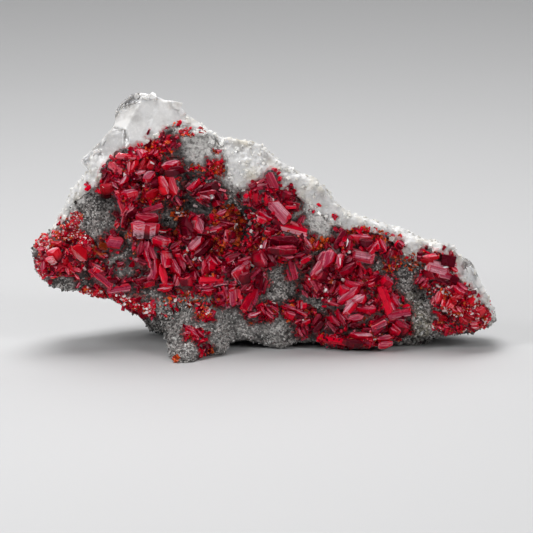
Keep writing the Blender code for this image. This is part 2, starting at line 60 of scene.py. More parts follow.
# %% Places in the picture
# In columns and rows: the picture's width, the specimen's width, the specimen's middle and the ground.
PICTURE = 533
SPECIMEN_COLUMNS = 459.5
SPECIMEN_WIDTH = 120 * MM
COLUMN = SPECIMEN_WIDTH / SPECIMEN_COLUMNS
MIDDLE_COLUMN = 266.25
GROUND_ROW = 350
FACE_Y = -6.8 * MM
LOOK_DOWN = math.radians(12)
SIGHT = Vector((0, math.cos(LOOK_DOWN), -math.sin(LOOK_DOWN)))
RIGHT = Vector((1, 0, 0))
UP = RIGHT.cross(SIGHT)


def on_face(column, row):
    """The point of the face's plane that shows at this column and row."""
    z = (GROUND_ROW - row) * COLUMN / math.cos(LOOK_DOWN)
    return Vector(((column - MIDDLE_COLUMN) * COLUMN, FACE_Y, z))


def in_depth(column, row, depth):
    """The point that shows at this column and row, this many millimetres behind the face's plane."""
    return on_face(column, row) + SIGHT * (depth * MM / SIGHT.y)


def in_picture(point):
    """The column and row where this point shows."""
    up = point.z * math.cos(LOOK_DOWN) + (point.y - FACE_Y) * math.sin(LOOK_DOWN)
    return MIDDLE_COLUMN + point.x / COLUMN, GROUND_ROW - up / COLUMN


print("one column", round(COLUMN / MM, 3), "mm")

# %% The camera
CAMERA_DISTANCE = 1.0

camera_data = bpy.data.cameras.new("camera")
camera_data.lens = camera_data.sensor_width * CAMERA_DISTANCE / (PICTURE * COLUMN)
camera = bpy.data.objects.new("camera", camera_data)
middle = on_face(PICTURE / 2, PICTURE / 2)
camera.location = middle - SIGHT * CAMERA_DISTANCE
camera.rotation_euler = SIGHT.to_track_quat("-Z", "Y").to_euler()
bpy.context.scene.collection.objects.link(camera)
bpy.context.scene.camera = camera
bpy.context.scene.view_settings.view_transform = "Standard"
print("lens", round(camera_data.lens))

# %% [markdown]
# ## The studio
# Glossy crystals show what they reflect, so the light comes from large soft panels: one above, which whitens
# the upper edge, one on each side, which puts a pale sheen on the faces turned to it, and a wide, faint one
# behind the camera for the faces that look at the viewer. A high panel behind lights the floor.

# %% Lights and floor
FAR_FLOOR = Vector((0, 0.75, 0))
ROOM_COLOUR = (0.92, 0.95, 1.0, 1)
ROOM_LIGHT = 0.02
FLOOR_SIZE = 6

# Each panel: its name, its place, its width and height, its power in watts, and what it faces.
PANELS = (
    ("top_panel", (-0.08, 0.10, 0.60), (0.50, 0.30), 3.6, middle),
    ("left_panel", (-0.55, -0.38, 0.42), (0.20, 0.40), 3.0, middle),
    ("right_panel", (0.58, -0.40, 0.36), (0.16, 0.36), 2.1, middle),
    ("front_panel", (0.15, -1.30, 0.80), (0.60, 0.40), 1.1, middle),
    ("back_panel", (0.0, 1.20, 1.20), (2.60, 1.00), 13.0, FAR_FLOOR),
)

for name, place, (wide, high), power, target in PANELS:
    lamp = bpy.data.lights.new(name, "AREA")
    lamp.shape = "RECTANGLE"
    lamp.size = wide
    lamp.size_y = high
    lamp.energy = power
    panel = bpy.data.objects.new(name, lamp)
    panel.location = place
    panel.rotation_euler = (target - panel.location).to_track_quat("-Z", "Y").to_euler()
    bpy.context.scene.collection.objects.link(panel)

world = bpy.data.worlds.new("studio")
world.use_nodes = True
background = world.node_tree.nodes["Background"]
background.inputs["Color"].default_value = ROOM_COLOUR
background.inputs["Strength"].default_value = ROOM_LIGHT
bpy.context.scene.world = world

floor_bm = bmesh.new()
bmesh.ops.create_grid(floor_bm, x_segments=1, y_segments=1, size=FLOOR_SIZE / 2)
floor_mesh = bpy.data.meshes.new("floor")
floor_bm.to_mesh(floor_mesh)
floor_bm.free()
floor = bpy.data.objects.new("floor", floor_mesh)
bpy.context.scene.collection.objects.link(floor)
print("panels", len(PANELS))

# %% [markdown]
# ## Mixing finishes
# A finish is a small program that the renderer runs at each point of a surface. Its nodes could be linked
# one by one, but `Wire` stands for one number or colour in it, so that a sum of wires reads like ordinary
# arithmetic. `Finish.node` adds anything else.


# %% Wires
class Wire:
    """A value inside a finish. Arithmetic on it adds the nodes that work it out."""

    def __init__(self, finish, socket):
        self.finish = finish
        self.socket = socket

    def __add__(self, other):
        return self.finish.maths("ADD", self, other)

    def __sub__(self, other):
        return self.finish.maths("SUBTRACT", self, other)

    def __rsub__(self, other):
        return self.finish.maths("SUBTRACT", other, self)

    def __mul__(self, other):
        return self.finish.maths("MULTIPLY", self, other)

    __radd__ = __add__
    __rmul__ = __mul__


# %% Finishes
class Finish:
    """A material whose nodes are added by name."""

    def __init__(self, name, **constants):
        self.material = bpy.data.materials.new(name)
        self.material.use_nodes = True
        self.tree = self.material.node_tree
        self.shader = self.tree.nodes["Principled BSDF"]
        for socket, value in constants.items():
            label = socket.replace("_", " ").title().replace("Ior", "IOR")
            self.shader.inputs[label].default_value = value
        self.place = self.node("ShaderNodeTexCoord", {}, {}, "Object")

    def node(self, kind, settings, sockets, output=0):
        """Adds a node, sets it up, then gives its sockets their values or links."""
        made = self.tree.nodes.new(kind)
        for name, value in settings.items():
            setattr(made, name, value)
        for name, value in sockets.items():
            self.plug(made.inputs[name], value)
        return Wire(self, made.outputs[output])

    def plug(self, socket, value):
        if isinstance(value, Wire):
            self.tree.links.new(value.socket, socket)
        else:
            socket.default_value = value

    def maths(self, operation, first, second):
        return self.node("ShaderNodeMath", {"operation": operation}, {0: first, 1: second})

    def between(self, value, low, high):
        """Rises from 0 to 1 while the value goes from low to high."""
        sockets = {"Value": value, "From Min": low, "From Max": high}
        return self.node("ShaderNodeMapRange", {"interpolation_type": "SMOOTHSTEP"}, sockets)

    def mix(self, first, second, share):
        """The first colour, with this share of the second."""
        first, second = (c if isinstance(c, Wire) else (*c, 1) for c in (first, second))
        return self.node("ShaderNodeMix", {"data_type": "RGBA"}, {0: share, 6: first, 7: second}, 2)

    def clouds(self, size, detail=3, place=None):
        """Soft patches of about this size, from 0 to 1."""
        sockets = {"Vector": place or self.place, "Scale": 1 / size, "Detail": detail}
        return self.node("ShaderNodeTexNoise", {}, sockets)

    def cells(self, size, output):
        """Grains of about this size, as the distance to a grain's middle or a random colour for each."""
        return self.node("ShaderNodeTexVoronoi", {}, {"Vector": self.place, "Scale": 1 / size}, output)

    def own(self, name, output="Fac"):
        """A value that is stored on the piece's points or faces under this name."""
        return self.node("ShaderNodeAttribute", {"attribute_name": name}, {}, output)

    def relief(self, height, depth):
        """Fine relief: where height rises by one, the surface seems to rise by depth."""
        bumped = self.node("ShaderNodeBump", {}, {"Height": height, "Distance": depth})
        self.plug(self.shader.inputs["Normal"], bumped)

    def colour(self, value):
        self.plug(self.shader.inputs["Base Color"], value)

    def roughness(self, value):
        self.plug(self.shader.inputs["Roughness"], value)


# %% The floor's finish
floor_finish = Finish("pale floor", roughness=0.6)
floor_finish.colour(floor_finish.mix((0.50, 0.50, 0.505), (0.54, 0.54, 0.545), floor_finish.clouds(0.4)))
floor_mesh.materials.append(floor_finish.material)
print("floor's finish", len(floor_finish.tree.nodes), "nodes")

# %% [markdown]
# ## Meshes from the solids
# The rock's solid has few faces. A voxel remesh turns a merged copy of it into an even, fine mesh with the
# same form, which can then be given the relief that the solid is too plain for. Subdividing the solid's own
# faces would leave long thin triangles, on which relief looks torn.


# %% Fine copies of a solid
SAME_POINT = 0.001 * MM


def new_object(name, bm):
    """A bmesh as an object in the scene, after which it is freed."""
    mesh = bpy.data.meshes.new(name)
    bm.to_mesh(mesh)
    bm.free()
    made = bpy.data.objects.new(name, mesh)
    bpy.context.scene.collection.objects.link(made)
    return made


def merged_copy(node):
    """A copy of a solid's mesh with its corners merged."""
    bm = bmesh.new()
    bm.from_mesh(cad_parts[node].data)
    bmesh.ops.remove_doubles(bm, verts=bm.verts, dist=SAME_POINT)
    return bm


def settle(made):
    """Bakes an object's modifiers into its mesh."""
    bpy.context.view_layer.update()
    graph = bpy.context.evaluated_depsgraph_get()
    mesh = bpy.data.meshes.new_from_object(made.evaluated_get(graph), depsgraph=graph)
    made.modifiers.clear()
    made.data = mesh
    return made


def remeshed(made, voxel, rounds):
    """Gives the object an even mesh of this fineness and smooths its steps."""
    step = made.modifiers.new("remesh", "REMESH")
    step.mode = "VOXEL"
    step.voxel_size = voxel
    smooth = made.modifiers.new("smooth", "SMOOTH")
    smooth.factor = 0.5
    smooth.iterations = rounds
    return settle(made)


def displaced(made, height):
    """Moves each point along its normal by height(point, normal)."""
    moves = [vertex.normal * height(vertex.co, vertex.normal) for vertex in made.data.vertices]
    for vertex, move in zip(made.data.vertices, moves):
        vertex.co += move
    made.data.update()
    return made


# %% [markdown]
# Relief is worked out from noise, which gives every point in space a number. Three kinds of it make all the
# stone here: soft waves, round grains and broken steps.


# %% Kinds of relief
GRAIN_STEEPNESS = 1.6
STEP_MIXING = 7.3


def rough(point, size, seed):
    """Smooth noise from -1 to 1 whose bumps are about this size."""
    return noise.noise(point / size + Vector((seed, 2 * seed, 3 * seed)))


def grains(point, size, seed):
    """Rounded grains of about this size: 1 in a grain's middle and falling to its edges."""
    distances, _ = noise.voronoi(point / size + Vector((seed, seed, 0)))
    return 1 - GRAIN_STEEPNESS * distances[0]


def broken(point, size, seed):
    """Broken steps from -1 to 1: cells of about this size, each with a height of its own."""
    _, cells = noise.voronoi(point / size + Vector((seed, 0, seed)))
    return noise.noise(cells[0] * STEP_MIXING)


def relief_at(point, kinds):
    """The height at a point of several kinds of relief, added up."""
    return sum(height * MM * form(point, size * MM, seed) for height, form, size, seed in kinds)


def shaded_smooth(made):
    """Shades an object as if its faces were curved."""
    made.data.polygons.foreach_set("use_smooth", [True] * len(made.data.polygons))
    return made


def triangles(made):
    """How many triangles an object has."""
    made.data.calc_loop_triangles()
    return len(made.data.loop_triangles)


# %% [markdown]
# ## The grey rock
# The matrix is a mass of quartz grains like packed sugar, with lumps and pits a few millimetres across.
# A finish could only paint them, but they show on the outline too, so the lumps and the larger grains are
# real relief. Where the two stones meet, both swell a little, so that no dark gap is left between them.

# %% Where the two stones meet, and places on the face
GAP_REACH = 2.0 * MM
GAP_SWELL = 0.6 * MM
EDGE_STEEPNESS = 1.7
FACE_DEPTH = 8 * MM


def surface_of(nodes):
    """The joint surface of these solids, for finding places on it."""
    bm = bmesh.new()
    for node in nodes:
        bm.from_mesh(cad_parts[node].data)
    tree = BVHTree.FromBMesh(bm)
    bm.free()
    return tree


rock_surface = surface_of(("matrix_rock",))
calcite_surface = surface_of(("calcite_layer",))


def swelling(point, other):
    """How far a point near the other stone moves out, so that the two stones meet without a gap."""
    return GAP_SWELL * max(0.0, 1 - other.find_nearest(point)[3] / GAP_REACH)


def painted(point, places):
    """How strongly these round places of the face act on this point, and 0 outside them."""
    strongest = 0.0
    point_column, point_row = in_picture(point)
    for column, row, radius, strength in places:
        away = math.hypot(point_column - column, point_row - row) / radius
        if away < 1 and point.y < FACE_DEPTH:
            strongest = max(strongest, strength * min(1.0, EDGE_STEEPNESS * (1 - away * away)))
    return strongest


print("the stones swell within", GAP_REACH / MM, "mm of each other")

# %% The rock's form
ROCK_VOXEL = 0.50 * MM
ROCK_FLAT = 0.6 * MM
ROCK_SINK = 0.1 * MM
UNDERSIDE = -0.5
SMOOTHING = 3

# Each kind of relief: its height, its form, the size of its bumps, both in millimetres, and its seed.
ROCK_RELIEF = (
    (0.38, rough, 3.2, 5.1),
    (0.30, broken, 2.2, 1.7),
    (0.30, grains, 1.25, 2.9),
    (0.20, rough, 0.8, 8.3),
)

# Places of the face, each as a column, a row, a radius in columns and a strength.
LUMPY_PLACES = ((418, 325, 18, 1.0), (414, 300, 12, 0.6), (345, 215, 10, 0.5))
LUMP_HEIGHT = 0.75 * MM
LUMP_SIZE = 2.1 * MM
LUMP_SEED = 6.6
LUMP_PIT = 0.3


def rock_height(point, normal):
    """Lumps, pits and sugar grains, which fade out where the rock rests on the ground."""
    height = relief_at(point, ROCK_RELIEF)
    lumps = grains(point, LUMP_SIZE, LUMP_SEED) - LUMP_PIT
    height += LUMP_HEIGHT * painted(point, LUMPY_PLACES) * lumps
    clear = min(1.0, max(0.0, point.z / ROCK_FLAT)) if normal.z < UNDERSIDE else 1.0
    return (height - ROCK_SINK + swelling(point, calcite_surface)) * clear


rock = remeshed(new_object("rock", merged_copy("matrix_rock")), ROCK_VOXEL, SMOOTHING)
shaded_smooth(displaced(rock, rock_height))
print("rock triangles", triangles(rock))

# %% [markdown]
# ## The white calcite
# The calcite breaks along flat cleavage faces at the crest, and is a crust of small white grains along the
# upper edge. Relief alone would round its faces off, so each face has an outline in the picture, and the
# points inside it are pressed flat before the relief is added.

# %% Cleavage faces
CLEAVED_DEPTH = 2.6 * MM
USUAL_CLEARNESS = 0.3
FORWARD = 0.3

# Cleavage faces: how clear each one is, then its corners with a column, a row and a depth in millimetres
# behind the face.
CLEAVAGE = (
    (0.35, ((144, 100, 3.9), (160, 100, 4.5), (144, 142, -0.9), (131, 142, 0), (126, 130, 0), (142, 102, 0))),
    (0.0, ((142, 102, 3.6), (126, 130, -0.2), (114, 128, 2.4), (117, 109, 0))),
    (1.0, ((118, 108, 6.0), (143, 101, 3.6), (137, 91, 6.6), (123, 101, 0))),
    (0.5, ((112, 134, 1.9), (126, 131, -0.1), (124, 156, -1.3), (104, 158, 0), (92, 150, 0))),
    (0.5, ((83, 162, 3.0), (100, 152, 1.6), (98, 170, 0.6), (88, 168, 0))),
    (0.0, ((455, 250, 0.4), (466, 262, -0.2), (462, 280, -1.0), (457, 276, -1.0))),
    (0.0, ((466, 262, -0.2), (476, 281, 0.5), (484, 294, 0.5), (470, 292, -1.0), (462, 280, -1.0))),
)


def inside_outline(column, row, corners):
    """Whether a place in the picture lies inside this outline."""
    inside = False
    for (x1, y1, _), (x2, y2, _) in zip(corners, corners[1:] + corners[:1]):
        if (y1 > row) != (y2 > row) and column < x1 + (row - y1) * (x2 - x1) / (y2 - y1):
            inside = not inside
    return inside


def cleaved(made):
    """Presses the points inside each outline onto the plane through its first three corners."""
    clearness = [USUAL_CLEARNESS] * len(made.data.vertices)
    for clear_share, corners in CLEAVAGE:
        flat = numpy.array(corners[:3], float)
        slope = numpy.linalg.solve(numpy.c_[flat[:, :2], numpy.ones(3)], flat[:, 2])
        for vertex in made.data.vertices:
            column, row = in_picture(vertex.co)
            if not inside_outline(column, row, corners):
                continue
            flat_y = FACE_Y + (slope[0] * column + slope[1] * row + slope[2]) * MM
            if abs(flat_y - vertex.co.y) < CLEAVED_DEPTH and vertex.normal.y < FORWARD:
                vertex.co.y = flat_y
                clearness[vertex.index] = clear_share
    made.data.attributes.new("clear", "FLOAT", "POINT").data.foreach_set("value", clearness)
    made.data.update()
    return made


print("cleavage faces", len(CLEAVAGE))

# %% The calcite's form
CALCITE_VOXEL = 0.46 * MM
CREST_COLUMN, CREST_ROW = 130, 120
CREST = on_face(CREST_COLUMN, CREST_ROW)
CREST_REACH = 17 * MM
SUGAR_RISE = 2.2
SUGAR_START = 1.5
SUGAR_SINK = 0.06 * MM

# Relief in the form of ROCK_RELIEF: low steps everywhere, and grains where the layer is sugary.
CLEAVAGE_STEPS = ((0.03, broken, 2.6, 6.1), (0.02, broken, 1.2, 3.3))
SUGAR_RELIEF = (
    (0.09, broken, 2.6, 6.1),
    (0.36, grains, 1.5, 4.7),
    (0.26, rough, 0.9, 2.2),
    (0.3, rough, 2.8, 7.7),
)


def sugary(point):
    """0 near the crest, with its clean faces, and 1 along the rest of the layer."""
    return min(1.0, max(0.0, SUGAR_RISE * (point - CREST).length / CREST_REACH - SUGAR_START))


def calcite_height(point, _):
    """Low cleavage steps near the crest, and sugary grains along the rest of the layer."""
    sugar = sugary(point)
    height = relief_at(point, CLEAVAGE_STEPS) + sugar * relief_at(point, SUGAR_RELIEF)
    return height - SUGAR_SINK * sugar + swelling(point, rock_surface)


calcite = remeshed(new_object("calcite", merged_copy("calcite_layer")), CALCITE_VOXEL, 1)
displaced(cleaved(calcite), calcite_height)
shaded_smooth(calcite)
print("calcite triangles", triangles(calcite))

# %% [markdown]
# ## Growing crystals
# Each realgar crystal is a six-sided prism that ends in two slanted faces like a wedge. A cone with equal
# ends makes the prism, and cutting planes make the wedges. Real crystals have growth steps on their faces
# and edges that are a little rounded, which catch the light as fine pale lines, so the larger ones get inset
# faces and a bevel.

# %% A lying prism
PRISM_SIDES = 6
PRISM_DEPTH = (0.85, 1.05)
WEDGE_STEEPNESS = (0.35, 0.9)
SAME_PLANE = math.radians(1)


def crystal(length, width, rng, sides=(-1, 1)):
    """One crystal along X with its middle at the origin: a prism whose ends are cut on these sides."""
    bm = bmesh.new()
    along = Matrix.Rotation(math.radians(90), 4, "Y")
    bmesh.ops.create_cone(
        bm, cap_ends=True, segments=PRISM_SIDES, radius1=0.5, radius2=0.5, depth=1, matrix=along
    )
    roll = Matrix.Rotation(math.radians(rng.uniform(0, 360 / PRISM_SIDES)), 4, "X")
    bmesh.ops.transform(bm, matrix=roll, verts=bm.verts)
    breadth = max(vertex.co.y for vertex in bm.verts) * 2
    sizes = (length, width / breadth, width * rng.uniform(*PRISM_DEPTH))
    bmesh.ops.scale(bm, vec=sizes, verts=bm.verts)
    for end in (-1, 1):
        across = rng.uniform(0, math.pi)
        for side in sides:
            lean = side * rng.uniform(*WEDGE_STEEPNESS)
            leaning = Vector((end, lean * math.cos(across), lean * math.sin(across)))
            cut_off(bm, (end * length / 2, 0, 0), leaning)
    return bm


def cut_off(bm, point, direction):
    """Cuts away what lies beyond a point in this direction, and closes the cut with a flat face."""
    everything = bm.verts[:] + bm.edges[:] + bm.faces[:]
    bmesh.ops.bisect_plane(bm, geom=everything, plane_co=point, plane_no=direction, clear_outer=True)
    bmesh.ops.holes_fill(bm, edges=[edge for edge in bm.edges if edge.is_boundary])


def merged_faces(bm):
    """Joins neighbouring faces that lie in one plane."""
    bmesh.ops.dissolve_limit(bm, angle_limit=SAME_PLANE, verts=bm.verts, edges=bm.edges)


# %% [markdown]
# Most crystals are seen from their end instead. They rise from the crust as short columns with a pointed,
# lens-shaped outline, and end in a low roof whose ridge runs the long way, like the rib of a leaf. The same
# tools make them: a cone for the column, and four cuts for the roof and its two gables.

# %% A standing column
# Numbers of sides, shares of the crystal's width, or of its length where a name says length, and slopes.
SIDE_CHOICE = (6, 8, 8, 8)
LENS_SIDES = 8
FOOT_WIDTH = (0.75, 0.98)
POINTEDNESS = (0.4, 0.75)
SLANT = (0.05, 0.3)
WANDER = 0.03
STANDING_LENGTH = 1.02
STANDING_BREADTH = (0.62, 0.9)
STANDING_HEIGHT = (1.2, 1.7)
TOP_RISE = 0.16
RIDGE_RISE = 0.12
RIDGE_ASIDE = 0.15
RIDGE_TILT = 0.15
ROOF_SLOPE = (0.15, 0.8)
GABLE_RISE = 0.1
GABLE_LENGTH = (0.2, 0.38)
GABLE_SLOPE = (0.15, 0.6)
GABLE_TILT = 0.2


def column_crystal(length, width, rng):
    """One crystal along Z with its lens-shaped end near the origin, long in X and slim in Y."""
    bm = bmesh.new()
    sides = rng.choice(SIDE_CHOICE)
    foot_size = 0.5 * rng.uniform(*FOOT_WIDTH)
    turned = Matrix.Rotation(math.radians(90), 4, "Z")
    bmesh.ops.create_cone(
        bm, cap_ends=True, segments=sides, radius1=foot_size, radius2=0.5, depth=1, matrix=turned
    )
    pointed = rng.uniform(*POINTEDNESS) * (sides == LENS_SIDES)
    slant = rng.choice((-1, 1)) * rng.uniform(*SLANT)
    for vertex in bm.verts:
        vertex.co.y *= 1 - pointed * abs(2 * vertex.co.x)
        vertex.co.x += slant * vertex.co.y + rng.uniform(-WANDER, WANDER)
    breadth = rng.uniform(*STANDING_BREADTH) * width
    height = rng.uniform(*STANDING_HEIGHT) * width
    bmesh.ops.scale(bm, vec=(length * STANDING_LENGTH, breadth, height), verts=bm.verts)
    bmesh.ops.translate(bm, vec=(0, 0, TOP_RISE * width - height / 2), verts=bm.verts)
    ridge = rng.uniform(-RIDGE_ASIDE, RIDGE_ASIDE) * breadth
    for side in (-1, 1):
        slope = (rng.uniform(-RIDGE_TILT, RIDGE_TILT), side * rng.uniform(*ROOF_SLOPE), 1)
        cut_off(bm, (0, ridge, RIDGE_RISE * width), slope)
        end = side * rng.uniform(*GABLE_LENGTH) * length
        slope = (side * rng.uniform(*GABLE_SLOPE), rng.uniform(-GABLE_TILT, GABLE_TILT), 1)
        cut_off(bm, (end, 0, GABLE_RISE * width), slope)
    return bm


# %% Growth steps and rounded edges
STEPPED_AREA = 0.12
STEPPED_SHARE = 0.5
STEP_DEPTH = (0.01, 0.04)
STEP_MARGIN = (0.05, 0.14)
SHARP = math.radians(25)
EDGE_WIDTH = 0.03


def bevelled(bm, edges, offset):
    """Takes the sharpness off these edges."""
    bmesh.ops.bevel(
        bm,
        geom=edges,
        affect="EDGES",
        offset=offset,
        offset_type="OFFSET",
        segments=1,
        profile=0.5,
        material=-1,
        clamp_overlap=True,
    )
    return bm


def grown(bm, width, rng):
    """Adds growth steps to some of a crystal's faces and takes the sharpness off its edges."""
    merged_faces(bm)
    bmesh.ops.recalc_face_normals(bm, faces=bm.faces)
    large = STEPPED_AREA * width**2
    stepped = [face for face in bm.faces if face.calc_area() > large and rng.random() < STEPPED_SHARE]
    for face in stepped:
        depth = rng.choice((-1, 1)) * rng.uniform(*STEP_DEPTH) * width
        margin = rng.uniform(*STEP_MARGIN) * width
        bmesh.ops.inset_individual(bm, faces=[face], thickness=margin, depth=depth)
    sharp = [edge for edge in bm.edges if edge.is_manifold and edge.calc_face_angle() > SHARP]
    return bevelled(bm, sharp, EDGE_WIDTH * width)


# %% [markdown]
# Hundreds of crystals make one piece. A `Heap` collects them and joins them once, which is much quicker than
# joining objects one at a time. It also stores what the finish needs: where each point lies in its own
# crystal, for striations that run along it, the crystal's tone, which varies a little from face to face, and
# how much a face is an end face.


# %% Heaps of crystals
SUNKEN = 0.4 * MM
TONE_SPREAD = 0.2
TONE_SEED = 3


class Heap:
    """Crystals that will be joined in one mesh."""

    def __init__(self):
        self.points, self.faces, self.inside = [], [], []
        self.tones, self.tops, self.kinds = [], [], []
        self.count = 0
        self.rng = random.Random(TONE_SEED)

    def add(self, points, faces, tops, place, tone, kind=0):
        """Adds a shape's points, an array of local places, and its faces, at this place, above the ground."""
        turned = points @ numpy.array(place.to_3x3()).T + numpy.array(place.translation)
        if turned[:, 2].max() < SUNKEN:
            return
        turned[:, 2] = numpy.maximum(turned[:, 2], 0)
        self.points.append(turned)
        self.inside.append(points)
        self.faces.extend(tuple(index + self.count for index in face) for face in faces)
        self.tones.extend(tone + self.rng.uniform(-TONE_SPREAD, TONE_SPREAD) for _ in faces)
        self.tops.extend(tops)
        self.kinds.extend([kind] * len(faces))
        self.count += len(points)

    def add_bmesh(self, bm, place, tone, kind=0):
        """Adds a bmesh in the same way, after which it is freed."""
        self.add(*shape_of(bm), place, tone, kind)

    def made(self, name):
        """The heap as one object."""
        mesh = bpy.data.meshes.new(name)
        mesh.from_pydata(numpy.concatenate(self.points).tolist(), [], self.faces)
        mesh.attributes.new("inside", "FLOAT_VECTOR", "POINT").data.foreach_set(
            "vector", numpy.concatenate(self.inside).ravel()
        )
        mesh.attributes.new("tone", "FLOAT", "FACE").data.foreach_set("value", self.tones)
        mesh.attributes.new("top", "FLOAT", "FACE").data.foreach_set("value", self.tops)
        mesh.polygons.foreach_set("material_index", self.kinds)
        made = bpy.data.objects.new(name, mesh)
        bpy.context.scene.collection.objects.link(made)
        return made


def shape_of(bm):
    """A bmesh's points, its faces, and how much each face looks up, after which it is freed."""
    bmesh.ops.recalc_face_normals(bm, faces=bm.faces)
    bm.verts.index_update()
    points = numpy.array([vertex.co[:] for vertex in bm.verts])
    faces = [tuple(vertex.index for vertex in face.verts) for face in bm.faces]
    tops = [max(0.0, face.normal.z) ** 2 for face in bm.faces]
    bm.free()
    return points, faces, tops


# %% [markdown]
# ## Where the crystals stand
# The places could be given in three dimensions, but the photograph shows only two. A ray along the line of
# sight finds the rock behind each place in the picture. The crystal lies along its turn in the picture and
# stands out between the rock's own direction and the viewer's.

# %% Seats on the rock
RAY_MILLIMETRES = 120
TO_THE_VIEWER = 2


def ray_start(column, row):
    """A point well in front of the face, from where this column and row are seen."""
    return on_face(column, row) - SIGHT * RAY_MILLIMETRES * MM


def seat(column, row, ground):
    """The point of the rock that shows at this column and row, and the direction that faces out of it."""
    hit, normal, _, _ = ground.ray_cast(ray_start(column, row), SIGHT)
    if hit is None:
        hit, normal, _, _ = ground.find_nearest(on_face(column, row))
    return hit, (normal - TO_THE_VIEWER * SIGHT).normalized()


def frame_at(hit, along, out):
    """A frame at a point: X close to along, and Z out of the rock."""
    along = (along - out * along.dot(out)).normalized()
    return Matrix.Translation(hit) @ Matrix((along, out.cross(along), out)).transposed().to_4x4()


def along_turn(turn):
    """The direction in the picture that is turned this many degrees from its rows."""
    angle = math.radians(turn)
    return RIGHT * math.cos(angle) + UP * math.sin(angle)


def standing(column, row, turn, ground):
    """The frame of a crystal that shows at this column and row with this turn."""
    hit, out = seat(column, row, ground)
    return frame_at(hit, along_turn(turn), out)


ground = surface_of(("matrix_rock", "calcite_layer"))
print("the crest is at", seat(CREST_COLUMN, CREST_ROW, ground)[0])

# %% [markdown]
# The larger crystals of each cluster, as the middle's column and row, the length and width in columns, and
# the turn in degrees. These are the ones that the solids have too.

